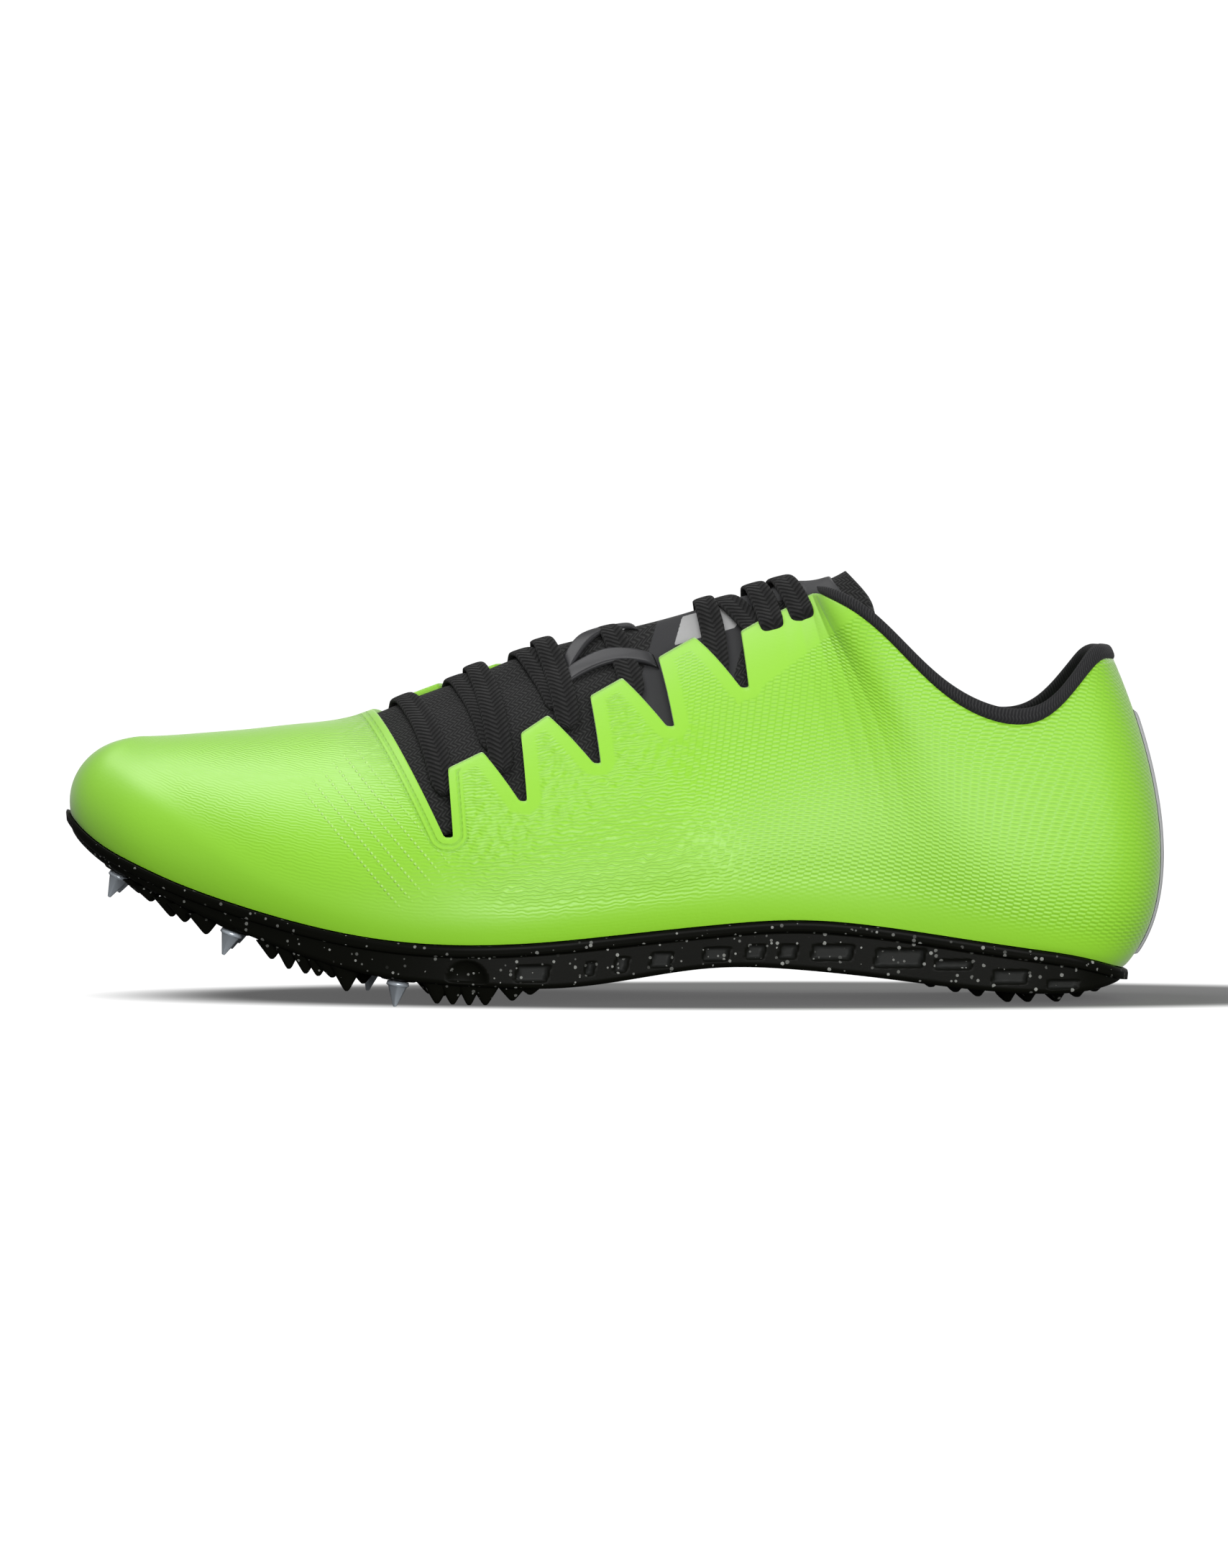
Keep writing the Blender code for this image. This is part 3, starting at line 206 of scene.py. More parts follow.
FEATHER = side_curve("feather")
UNDERSIDE = side_curve("under")


def feather_height(x):
    """Height of the feather line over the floor."""
    return read(FEATHER, x / LENGTH + 0.5)


def underside_height(x):
    """Height of the sole's bare underside over the floor."""
    return read(UNDERSIDE, x / LENGTH + 0.5)


def round_knots():
    """Share of the way round, toe to heel, of each section: mean chord length of both sides."""
    x = section("along") * LENGTH
    total = np.zeros(len(x))
    for side in ("lateral", "medial"):
        y = section(side) * BALL_WIDTH
        total[1:] += np.cumsum(np.hypot(np.diff(x), np.diff(y)))
    return total / total[-1], total[-1] / 2


KNOTS, HALF_ROUND = round_knots()
COLLAR_FRONT = KNOTS[COLLAR_ROW]
CORNER = KNOTS[CORNER_ROW]


def wrap(place):
    """A place round the last, brought into -1 to 1: outer side below 0, toe 0, heel 1."""
    return np.mod(np.asarray(place, float) + 1, 2) - 1


def ring(outer, inner):
    """A closed spline round the last through the outer side's and the inner side's values."""
    knots = np.concatenate((-KNOTS[:0:-1], KNOTS[:-1]))
    values = np.concatenate((outer[:0:-1], inner[:-1]))
    return fit(np.concatenate((knots - 2, knots, knots + 2)), np.tile(values, 3))


RING_COLUMNS = ("along", "foot_out", "foot_up", "crown", "swell", "drop")
RINGS = {name: ring(section(name), section(name)) for name in RING_COLUMNS}
RINGS["across"] = ring(-section("lateral"), section("medial"))


def feather_point(place):
    """Feather line in plan."""
    return (read(RINGS["along"], place) - 0.5) * LENGTH, read(RINGS["across"], place) * BALL_WIDTH


def outward(place):
    """Unit vector in plan, square to the feather line and pointing out."""
    x0, y0 = feather_point(wrap(place - FINE))
    x1, y1 = feather_point(wrap(place + FINE))
    size = np.hypot(x1 - x0, y1 - y0)
    return -(y1 - y0) / size, (x1 - x0) / size


def top_heights():
    """Height of the top edge at each section."""
    return TOE_HEIGHT * section("toe") + INSTEP_HEIGHT * section("instep") + HEEL_HEIGHT * section("heel")


def ridge_splines():
    """Splines of the ridge, toe to collar: along, across and height."""
    rows = slice(0, COLLAR_ROW + 1)
    half = KNOTS[rows]
    knots = np.concatenate((-half[:0:-1], half))
    columns = (section("top_along")[rows], section("top_medial")[rows], top_heights()[rows])
    return [fit(knots, np.concatenate((values[:0:-1], values))) for values in columns]


def collar_splines():
    """Splines of the collar's edge by the way back from the heel: along, across and height."""
    rows = slice(COLLAR_ROW, len(SECTIONS))
    back = 1 - KNOTS[rows]
    knots = np.concatenate((-back, back[-2::-1]))
    x, z = section("top_along")[rows], top_heights()[rows]
    outer, inner = -section("top_lateral")[rows], section("top_medial")[rows]
    return [fit(knots, np.concatenate((a, b[-2::-1]))) for a, b in ((x, x), (outer, inner), (z, z))]


RIDGE = ridge_splines()
COLLAR = collar_splines()


def ridge_point(place):
    """Ridge of the last ahead of the collar."""
    x, y, z = (read(fitted, np.abs(place)) for fitted in RIDGE)
    return (x - 0.5) * LENGTH, y * BALL_WIDTH, z


def collar_point(place):
    """Collar's edge, from the front over the heel to the front again."""
    x, y, z = (read(fitted, np.where(place < 0, -1.0, 1.0) * (1 - np.abs(place))) for fitted in COLLAR)
    return (x - 0.5) * LENGTH, y * BALL_WIDTH, z


def top_point(place):
    """Top end of the wall: on the ridge ahead of the collar, on the collar's edge behind it."""
    ridge = ridge_point(np.clip(place, -COLLAR_FRONT, COLLAR_FRONT))
    collar = collar_point(np.where(np.abs(place) > COLLAR_FRONT, place, np.sign(place) * COLLAR_FRONT))
    ahead = np.abs(place) <= COLLAR_FRONT
    return [np.where(ahead, a, b) for a, b in zip(ridge, collar)]


def ridge_slope(place):
    """Rise of the ridge per run, level again behind the collar's front."""
    at = np.clip(np.abs(place), 0.02, COLLAR_FRONT - 2 * FINE)
    x0, _, z0 = ridge_point(at - FINE)
    x1, _, z1 = ridge_point(at + FINE)
    return np.where(np.abs(place) <= COLLAR_FRONT, (z1 - z0) / (x1 - x0), 0.0)


def raw_form(place, girth):
    """Outer surface of the last: a cubic curve from the feather line (girth 0) to the top edge (girth 1)."""
    place, girth = np.broadcast_arrays(wrap(place), np.asarray(girth, float))
    fx, fy = feather_point(place)
    fz = feather_height(fx)
    tx, ty, tz = top_point(place)
    nx, ny = outward(place)
    height = tz - fz
    reach = (fx - tx) * nx + (fy - ty) * ny
    foot_out = read(RINGS["foot_out"], place) * height
    foot_up = read(RINGS["foot_up"], place) * height
    top_out = read(RINGS["crown"], place) * reach + read(RINGS["swell"], place) * height
    drop = read(RINGS["drop"], place) * height
    slope = ridge_slope(place)
    start = np.stack((fx, fy, fz), -1)
    low = start + np.stack((nx * foot_out, ny * foot_out, foot_up), -1)
    end = np.stack((tx, ty, tz), -1)
    high = end + np.stack((nx * top_out, ny * top_out, nx * top_out * slope - drop), -1)
    t = girth[..., None]
    return (1 - t)**3 * start + 3 * (1 - t)**2 * t * low + 3 * (1 - t) * t**2 * high + t**3 * end


def smoothstep(low, high, value):
    """0 below low, 1 above high and smooth between."""
    t = np.clip((value - low) / (high - low), 0, 1)
    return t * t * (3 - 2 * t)


def between(value, rise_start, rise_end, fall_start, fall_end):
    """1 between a smooth rise and a smooth fall, 0 outside them."""
    return smoothstep(rise_start, rise_end, value) * (1 - smoothstep(fall_start, fall_end, value))


SMOOTHING = 0.060


def form(place, girth):
    """The outer surface, evened out below the collar's corner, where the sections change fast."""
    place, girth = np.broadcast_arrays(wrap(place), np.asarray(girth, float))
    sharp = raw_form(place, girth)
    at = np.abs(place)
    share = between(at, COLLAR_FRONT - 0.16, COLLAR_FRONT - 0.05, CORNER + 0.08, CORNER + 0.20)
    if not np.any(share > 0):
        return sharp
    reach = SMOOTHING * (1 - 0.55 * smoothstep(0.5, 1.0, girth))
    moves = np.linspace(-1, 1, 7)
    weights = np.cos(moves * math.pi / 2.2)
    parts = [raw_form(place + move * reach, girth) * weight for move, weight in zip(moves, weights)]
    soft = sum(parts) / weights.sum()
    return sharp + (soft - sharp) * share[..., None]


def normals(place, girth):
    """Unit normals of the form, pointing out."""
    step = 20 * FINE
    low = np.maximum(girth - step, 0.0)
    up = form(place, low + step) - form(place, low)
    beside = np.minimum(girth, 1 - 10 * step)
    side = form(place + step, beside) - form(place - step, beside)
    normal = np.cross(up, side)
    return normal / np.linalg.norm(normal, axis=-1, keepdims=True)


def skin(place, girth, lift):
    """The form lifted off itself along its normal."""
    place, girth = np.broadcast_arrays(np.asarray(place, float), np.asarray(girth, float))
    return form(place, girth) + normals(place, girth) * np.asarray(lift)[..., None]


def arch(place, across, lift):
    """The lifted form by a coordinate over the ridge: -1 outer feather, 0 ridge, 1 inner feather."""
    place, across = np.broadcast_arrays(np.asarray(place, float), np.asarray(across, float))
    return skin(np.where(across < 0, -place, place), 1 - np.abs(across), lift)


def photo(px, py):
    """Side-view place of a pixel of the photograph."""
    return (px - PHOTO_MIDDLE) * PIXEL, (PHOTO_FLOOR - py) * PIXEL


def locate(x, z):
    """Place and girth of a point on the outer side, given in side view."""
    places, girths = np.meshgrid(np.linspace(-CORNER, -0.05, 160), np.linspace(0, 1, 90), indexing="ij")
    points = raw_form(places, girths)
    best = np.argmin((points[..., 0] - x)**2 + (points[..., 2] - z)**2)
    place = places.flat[best]
    girth = girths.flat[best]
    for _ in range(4):
        here = raw_form(place, girth)
        along = (raw_form(place + FINE, girth) - here) / FINE
        up = (raw_form(place, girth - FINE) - here) / -FINE
        system = np.array(((along[0], up[0]), (along[2], up[2])))
        step = np.linalg.solve(system, (x - here[0], z - here[2]))
        place += step[0]
        girth += step[1]
    return abs(place), min(girth, 1.0)


def throat_edges():
    """Places of the throat's corners round the last, with their girth on the outer and the inner side."""
    start = np.interp(THROAT_START, section("top_along")[:COLLAR_ROW + 1], KNOTS[:COLLAR_ROW + 1])
    rows = [(start, 1.0, 1.0)]
    for px, py, inner in THROAT:
        place, girth = locate(*photo(px, py))
        rows.append((max(place, rows[-1][0] + TOOTH_LEAN), girth, inner))
    rows.append((CORNER, 1.0, 1.0))
    return np.array(rows)


EDGES = throat_edges()
SHIFT = np.zeros(3)


def set_shift():
    """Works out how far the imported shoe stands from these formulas, from the sole's box."""
    places = np.linspace(-1, 1, 2001)
    x, y = feather_point(places)
    nx, ny = outward(places)
    own = np.array((x + nx * RIM_REACH, y + ny * RIM_REACH))
    low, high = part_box("sole")
    SHIFT[0] = low[0] - own[0].min()
    SHIFT[1] = (low[1] - own[1].min() + high[1] - own[1].max()) / 2


# Meshes

WELD = 1e-6


def mesh_piece(name, grids, material, uvs=None, values=None):
    """One mesh of several grids of points, each (points, closed round its first axis)."""
    points, faces, start = [], [], 0
    for grid, closed in grids:
        rows, columns = grid.shape[:2]
        names = start + np.arange(rows * columns).reshape(rows, columns)
        ahead = np.roll(names, -1, 0) if closed else names[1:]
        here = names if closed else names[:-1]
        quads = np.stack((here[:, :-1], ahead[:, :-1], ahead[:, 1:], here[:, 1:]), -1)
        faces.append(quads.reshape(-1, 4))
        points.append(grid.reshape(-1, 3))
        start += rows * columns
    faces = np.concatenate(faces)
    mesh = bpy.data.meshes.new(name)
    mesh.from_pydata(np.concatenate(points) + SHIFT, [], faces)
    if uvs is not None:
        layer = mesh.uv_layers.new(name="UVMap")
        flat = np.concatenate([uv.reshape(-1, 2) for uv in uvs])
        layer.data.foreach_set("uv", flat[faces.ravel()].ravel().astype(np.float32))
    for key, arrays in (values or {}).items():
        made = mesh.attributes.new(key, "FLOAT", "POINT")
        made.data.foreach_set("value", np.concatenate([a.ravel() for a in arrays]).astype(np.float32))
    mesh.shade_smooth()
    mesh.materials.append(material)
    item = bpy.data.objects.new(name, mesh)
    bpy.context.scene.collection.objects.link(item)
    return item


def weld(item):
    """Joins points of a piece that lie on each other, and turns its faces outwards."""
    bm = bmesh.new()
    bm.from_mesh(item.data)
    bmesh.ops.remove_doubles(bm, verts=bm.verts, dist=WELD)
    bmesh.ops.recalc_face_normals(bm, faces=bm.faces)
    if bm.calc_volume(signed=True) < 0:
        bmesh.ops.reverse_faces(bm, faces=bm.faces)
    bm.to_mesh(item.data)
    bm.free()


def finish_piece(item, slot, *nodes):
    """Welds a piece, ties it to its body and hides the CAD nodes that it replaces. Its slot is not used."""
    weld(item)
    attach(item, "root")
    if nodes:
        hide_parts(*nodes)
    return item


def lengths(points, axis):
    """Way gone along a grid's axis."""
    gone = np.linalg.norm(np.diff(points, axis=axis), axis=-1)
    pad = [(0, 0), (0, 0)]
    pad[axis] = (1, 0)
    return np.pad(np.cumsum(gone, axis=axis), pad)


def unit(vectors):
    """Vectors of length one."""
    return vectors / np.linalg.norm(vectors, axis=-1, keepdims=True)


def superellipse(turns, width, height, power):
    """Offsets across and up of a rounded flat section: cosine and sine, each to a power."""
    c, s = np.cos(turns), np.sin(turns)
    return np.sign(c) * np.abs(c)**power * width / 2, np.sign(s) * np.abs(s)**power * height / 2


def tube(name, line, side, up, width, height, material, power, sides):
    """A rounded flat section carried along a line, with its ends drawn in by a quarter turn."""
    turns = np.linspace(0, math.tau, sides + 1)
    across, lift = superellipse(turns, 1.0, 1.0, power)
    widths = np.broadcast_to(width, (len(line),))[:, None, None]
    heights = np.broadcast_to(height, (len(line),))[:, None, None]
    beside = side[:, None] * across[None, :, None] * widths
    body = line[:, None] + beside + up[:, None] * lift[None, :, None] * heights
    caps = []
    for end, sign in ((0, -1), (-1, 1)):
        ahead = unit(line[end] - line[end - sign]) * float(heights[end, 0, 0]) / 2
        out = body[end] - line[end]
        caps.append([line[end] + out * math.cos(turn) + ahead * math.sin(turn) for turn in CAP_TURNS])
    rings = np.concatenate((np.array(caps[0][::-1]), body, np.array(caps[1])))
    round_way = np.hypot(np.diff(across), np.diff(lift) * 0.3)
    u = lengths(rings, 0)[:, :1] * np.ones((1, sides + 1)) / MM
    v = np.cumsum(np.concatenate(((0,), round_way))) * float(np.max(width)) / MM
    uv = np.stack((u, np.broadcast_to(v, u.shape)), -1)
    return mesh_piece(name, [(rings, False)], material, [uv])


def shell(high, low):
    """A closed sheet: the low grid with the high grid drawn in at its rim, as one grid."""
    rows, columns = high.shape[:2]
    a = np.abs(np.linspace(-1, 1, rows))[:, None]
    b = np.abs(np.linspace(-1, 1, columns))[None]
    share = (1 - a**14) * (1 - b**14)
    return low + (high - low) * share[..., None]


def looped(high, low):
    """Two sheets as one loop of columns: there on the first, back on the second."""
    return np.concatenate((high, low[:, ::-1], high[:, :1]), 1)


def widened(grid, count):
    """A grid with its last column repeated."""
    return np.concatenate((grid, np.repeat(grid[:, -1:], count, 1)), 1)


def round_places(count):
    """Places all the way round: toe to heel on the outer side, and back on the inner side."""
    half = np.linspace(0, 1, count)
    return np.concatenate((-half, half[-2:0:-1]))


def sheet_across(rim, count):
    """A sheet of straight rows from the outer half of a rim of round places to its inner half."""
    half = len(rim) // 2 + 1
    left, right = rim[:half], rim[-np.arange(half) % len(rim)]
    return left[:, None] + (right - left)[:, None] * np.linspace(0, 1, count)[None, :, None]


# Materials

# The light lime gives a random lighter tone, the lighter band by the throat and a painted highlight on the
# raised threads; the dark lime gives the dark seams and painted shade in the knit's hollows and gutters
LIME = (0.225, 0.55, 0.016)
LIME_LIGHT_AND_HIGHLIGHT = (0.29, 0.60, 0.042)
LIME_SEAM_AND_SHADE = (0.135, 0.39, 0.007)
LIME_STITCH = (0.46, 0.74, 0.22)
LABEL_GROUND = (0.035, 0.035, 0.037)
LABEL_FIELD = (0.33, 0.33, 0.33)
PLATE_BLACK = (0.0034, 0.0036, 0.0026)
PLATE_WINDOW = (0.022, 0.023, 0.022)
PLATE_SPECKLE = (0.45, 0.46, 0.43)
SPECKLE_SCALE = 750.0
NOISE_ROUGHNESS = 0.55

# Values of the wall that the knit reads: distance from the throat's edge, height over the rand,
# way ahead of the throat's front line and way along it, 1 in the rear, and 1 by that line
KNIT_FIELDS = ("edge", "rand", "vamp", "run", "rear", "front")

# Repeats of the knit, in millimetres
WAVE_RISE = 0.95
WAVE_DRIFT = 3.9
WAVE_BREAK = 9.0
DASH_RISE = 1.15
DASH_COLUMN = 3.7
STITCH = 1.3
STITCH_ROW = 3.3


class Pen:
    """Draws one material's nodes. Each method adds a node and gives its output."""

    def __init__(self, name):
        self.made = bpy.data.materials.new(name)
        self.made.use_nodes = True
        self.tree = self.made.node_tree

    def add(self, kind, **settings):
        """A node with its settings."""
        node = self.tree.nodes.new(kind)
        for key, value in settings.items():
            setattr(node, key, value)
        return node

    def put(self, node, **inputs):
        """Feeds a node's named inputs with numbers, colours or outputs; an underscore stands for a space."""
        for name, value in inputs.items():
            self.feed(node.inputs[name.replace("_", " ")], value)

    def feed(self, socket, value):
        """Feeds one input with a number, a colour or an output."""
        if isinstance(value, (int, float)):
            socket.default_value = value
        elif isinstance(value, tuple):
            socket.default_value = (*value, 1)
        else:
            self.tree.links.new(value, socket)

    def maths(self, operation, *values):
        """A maths node."""
        node = self.add("ShaderNodeMath", operation=operation)
        for socket, value in zip(node.inputs, values):
            self.feed(socket, value)
        return node.outputs[0]

    def times(self, product, *values):
        """The product of two values or more."""
        for value in values:
            product = self.maths("MULTIPLY", product, value)
        return product

    def wave(self, value, period):
        """Sine of a value with the given period."""
        return self.maths("SINE", self.times(value, math.tau / period))

    def step(self, value, start, end, low=0.0, high=1.0):
        """A smooth step of a value from low to high."""
        node = self.add("ShaderNodeMapRange", interpolation_type="SMOOTHSTEP")
        self.put(node, Value=value, From_Min=start, From_Max=end, To_Min=low, To_Max=high)
        return node.outputs["Result"]

    def band(self, value, rise, fall):
        """1 between two smooth steps, each a pair of its start and end."""
        return self.times(self.step(value, *rise), self.step(value, *fall))

    def mix(self, factor, a, b, kind="RGBA"):
        """A mix of two colours, or of two numbers where the kind is FLOAT."""
        node = self.add("ShaderNodeMix", data_type=kind)
        self.put(node, Factor=factor, A=a, B=b)
        return node.outputs["Result"]

    def noise(self, place, scale, detail=3.0):
        """A noise texture."""
        node = self.add("ShaderNodeTexNoise")
        self.put(node, Vector=place, Scale=scale, Detail=detail, Roughness=NOISE_ROUGHNESS)
        return node.outputs["Fac"]

    def bump(self, height, distance, strength, after=None):
        """A bump of a height, on top of another bump where one is given."""
        node = self.add("ShaderNodeBump")
        self.put(node, Height=height, Distance=distance, Strength=strength)
        if after is not None:
            self.put(node, Normal=after)
        return node.outputs["Normal"]

    def field(self, name):
        """An attribute of the mesh."""
        return self.add("ShaderNodeAttribute", attribute_name=name).outputs["Fac"]

    def place(self):
        """Object coordinates."""
        return self.add("ShaderNodeTexCoord").outputs["Object"]

    def cloth_way(self):
        """Millimetres along and across the cloth, from the piece's own UV map."""
        split = self.add("ShaderNodeSeparateXYZ")
        self.put(split, Vector=self.add("ShaderNodeUVMap", uv_map="UVMap").outputs["UV"])
        return split.outputs["X"], split.outputs["Y"]

    def finish(self, **inputs):
        """Feeds the shader and gives the material."""
        self.put(self.tree.nodes["Principled BSDF"], **inputs)
        return self.made


def knit_waves(pen, place, along, up):
    """Fine waves of the front knit: a sine up the wall, shifted by a slow sine and by two noises."""
    shifts = []
    for scale, detail in ((90.0, 2.0), (430.0, 1.0)):
        noise = pen.noise(place, scale, detail)
        shifts.append(pen.times(pen.maths("SUBTRACT", noise, 0.5), WAVE_BREAK))
    drift = pen.times(pen.wave(pen.maths("MULTIPLY_ADD", up, 0.7, along), WAVE_DRIFT), 0.55)
    shift = pen.maths("ADD", drift, pen.maths("ADD", *shifts))
    return pen.maths("SINE", pen.maths("ADD", pen.times(up, math.tau / WAVE_RISE), shift))


def knit_dashes(pen, columns, up):
    """Dashes of the rear knit: a sine up the wall, half a turn apart from one column to the next."""
    quarter = pen.times(pen.maths("SIGN", columns), math.pi / 2)
    dash = pen.maths("SINE", pen.maths("ADD", pen.times(up, math.tau / DASH_RISE), quarter))
    return pen.times(dash, pen.maths("POWER", pen.maths("ABSOLUTE", columns), 0.5))


def knit_material():
    """Lime knit under a thin film: waves in front, dashes behind, and smooth by the rand and the throat; a
    painted highlight on its raised threads and painted shade in its hollows and gutters.
    """
    pen = Pen("lime knit")
    maths, times, step, band = pen.maths, pen.times, pen.step, pen.band
    along, up = pen.cloth_way()
    edge, rand, vamp, run, rear, front = [pen.field(name) for name in KNIT_FIELDS]
    place = pen.place()
    columns = pen.wave(maths("ADD", along, times(up, 0.35)), DASH_COLUMN)
    knit = pen.mix(rear, knit_waves(pen, place, along, up), knit_dashes(pen, columns, up), "FLOAT")
    off_throat = step(edge, 3.0, 4.2)
    rough = times(off_throat, step(rand, -1.0, 9.0))
    calm_vamp = step(vamp, 14.0, -2.0, 0.28, 1.0)
    relief = times(knit, calm_vamp, maths("MULTIPLY_ADD", rough, 0.95, 0.05))

    # Rows of stitches across the vamp, and the two seams by the throat's front edge
    stitch = pen.wave(run, STITCH)
    row_line = band(maths("FRACT", maths("DIVIDE", vamp, STITCH_ROW)), (0.10, 0.20), (0.34, 0.24))
    row_zone = times(band(vamp, (6.5, 8.0), (27.0, 24.0)), band(run, (0.0, 7.0), (44.0, 36.0)))
    rows = times(row_line, row_zone, step(stitch, -0.2, 0.5), rough)
    lines = maths("MAXIMUM", band(edge, (1.7, 2.1), (2.8, 2.4)), band(edge, (3.2, 3.6), (4.3, 3.9)))
    seams = times(lines, front)
    stitches = times(seams, maths("MULTIPLY_ADD", step(stitch, -0.6, 0.6), 0.5, 0.5))

    # Painted light: the raised threads get a painted highlight, the hollows between them and the gutters
    # between the rear dash columns get painted shade
    threads = times(step(relief, 0.1, 0.9), maths("MULTIPLY_ADD", rear, 0.18, 0.34))
    painted_hollow_shade = times(step(relief, -0.1, -0.9), maths("MULTIPLY_ADD", rear, 0.14, 0.24))
    painted_gutter_shade = times(step(maths("ABSOLUTE", columns), 0.45, 0.1), rear, rough)
    colour = pen.mix(times(pen.noise(place, 14.0, 2.0), 0.5), LIME, LIME_LIGHT_AND_HIGHLIGHT)
    for factor, tint in (
        (times(maths("SUBTRACT", 1.0, off_throat), 0.20), LIME_LIGHT_AND_HIGHLIGHT),
        (threads, LIME_LIGHT_AND_HIGHLIGHT),
        (painted_hollow_shade, LIME_SEAM_AND_SHADE),
        (times(painted_gutter_shade, 0.20), LIME_SEAM_AND_SHADE),
        (times(rows, 0.7), LIME_STITCH),
        (times(seams, 0.35), LIME_SEAM_AND_SHADE),
    ):
        colour = pen.mix(factor, colour, tint)

    grain = times(pen.noise(place, 900.0, 2.0), 0.4)
    coarse = pen.bump(maths("ADD", relief, grain), 0.08 * MM, 0.9)
    raised = pen.bump(maths("SUBTRACT", rows, stitches), 0.22 * MM, 0.8, coarse)
    return pen.finish(
        Base_Color=colour, Normal=raised, Roughness=maths("SUBTRACT", 0.60, times(off_throat, 0.18)),
        Specular_IOR_Level=0.45, Sheen_Weight=0.30, Sheen_Roughness=0.4,
        Coat_Weight=0.22, Coat_Roughness=0.38,
    )


def cloth_material(name, colour, light, thread, rib, depth):
    """A woven cloth: chevrons of threads between ribs with a painted highlight on the raised threads, and the
    tongue's plain label by its own field.
    """
    pen = Pen(name)
    maths, times, step = pen.maths, pen.times, pen.step
    along, across = pen.cloth_way()
    weave = pen.wave(maths("ADD", along, maths("PINGPONG", across, rib)), thread)
    height = maths("ADD", times(weave, 0.7), times(pen.wave(across, rib), 0.3))
    fuzz = pen.noise(pen.place(), 1600.0, 2.0)
    # Painted highlight: the raised threads take the light colour
    painted_weave_highlight = times(step(height, -0.2, 0.9), maths("MULTIPLY_ADD", fuzz, 0.8, 0.3))
    label = pen.field("label")
    tone = pen.mix(painted_weave_highlight, colour, light)
    tone = pen.mix(step(label, 0.2, 0.4), tone, LABEL_GROUND)
    tone = pen.mix(step(label, 0.7, 0.8), tone, LABEL_FIELD)
    woven = times(step(label, 0.2, 0.4, 1.0, 0.1), maths("ADD", height, times(fuzz, 0.5)))
    return pen.finish(
        Base_Color=tone, Normal=pen.bump(woven, depth, 0.9), Roughness=0.85,
        Specular_IOR_Level=0.15, Sheen_Weight=0.04, Sheen_Roughness=0.5,
    )


def plain_material(name, colour, roughness, metallic, grain, specular=0.5):
    """A plain finish with a light grain in its bump."""
    pen = Pen(name)
    return pen.finish(
        Base_Color=colour, Roughness=roughness, Metallic=metallic, Specular_IOR_Level=specular,
        Normal=pen.bump(pen.noise(pen.place(), 1200.0), grain, 0.6),
    )


def plate_material():
    """Black moulded plate with fine pale speckles and lighter recessed windows."""
    pen = Pen("black plate")
    place = pen.place()
    spots = pen.add("ShaderNodeTexVoronoi", feature="F1")
    pen.put(spots, Vector=place, Scale=SPECKLE_SCALE)
    chance = pen.add("ShaderNodeSeparateColor")
    pen.put(chance, Color=spots.outputs["Color"])
    size = pen.maths("MULTIPLY_ADD", chance.outputs["Green"], 0.30, 0.10)
    inside = pen.maths("LESS_THAN", spots.outputs["Distance"], size)
    picked = pen.step(chance.outputs["Red"], 0.66, 0.70)
    tone = pen.maths("MULTIPLY_ADD", chance.outputs["Blue"], 0.42, 0.10)
    colour = pen.mix(pen.times(pen.field("window"), 0.7), PLATE_BLACK, PLATE_WINDOW)
    colour = pen.mix(pen.times(inside, picked, tone), colour, PLATE_SPECKLE)
    return pen.finish(
        Base_Color=colour, Roughness=0.34, Specular_IOR_Level=0.035,
        Normal=pen.bump(pen.noise(place, 1500.0), 0.02 * MM, 0.5),
    )


# Upper

EDGE_STEP = 0.1 * MM
COLUMN_STEP = 0.72 * MM
AHEAD_COLUMNS = 90
BEHIND_COLUMNS = 210
WALL_ROWS = 54
INNER_ROWS = 8
GIRTH_STEPS = 40
FILM = 0.06 * MM
EDGE_SINK = 0.25 * MM
LIP = 0.3 * MM
FAR = 99.0

# Ends of two lines in the side view, in pixels: the throat's front edge, and the panel behind the last notch
FRONT_LINE = ((518, 999), (662, 1165))
PANEL_LINE = ((1035, 975), (1190, 860))


def girth_length(place):
    """Length of the wall from feather to top at a place."""
    girths = np.linspace(0, 1, GIRTH_STEPS)
    points = form(np.repeat(np.atleast_1d(place)[:, None], GIRTH_STEPS, 1), girths[None])
    return lengths(points, 1)[:, -1]


def rounded_edge(side):
    """Throat's edge on one side: places and girths, evenly spaced, with its corners rounded off."""
    places, girths = EDGES[:, 0], EDGES[:, 1 if side < 0 else 2]
    if side > 0:
        moved = between(places, places[0], places[FORWARD_FROM], places[FORWARD_TO], CORNER)
        places = places - INNER_FORWARD * moved
    tall = girth_length(side * places)
    size = np.hypot(np.diff(places) * HALF_ROUND, np.diff(girths) * (tall[1:] + tall[:-1]) / 2)
    gone = np.concatenate(((0,), np.cumsum(size)))
    at = np.arange(0, gone[-1], EDGE_STEP)
    dense = np.stack([np.interp(at, gone, values) for values in (places, girths)], 1)
    window = int(2 * ROUNDING / EDGE_STEP) | 1
    pad = window // 2
    padded = np.concatenate((np.repeat(dense[:1], pad, 0), dense, np.repeat(dense[-1:], pad, 0)))
    kernel = np.hanning(window + 2)[1:-1]
    kernel /= kernel.sum()
    smooth = np.stack([np.convolve(padded[:, k], kernel, "valid") for k in (0, 1)], 1)
    smooth[0], smooth[-1] = dense[0], dense[-1]
    return smooth[::int(COLUMN_STEP / EDGE_STEP)]


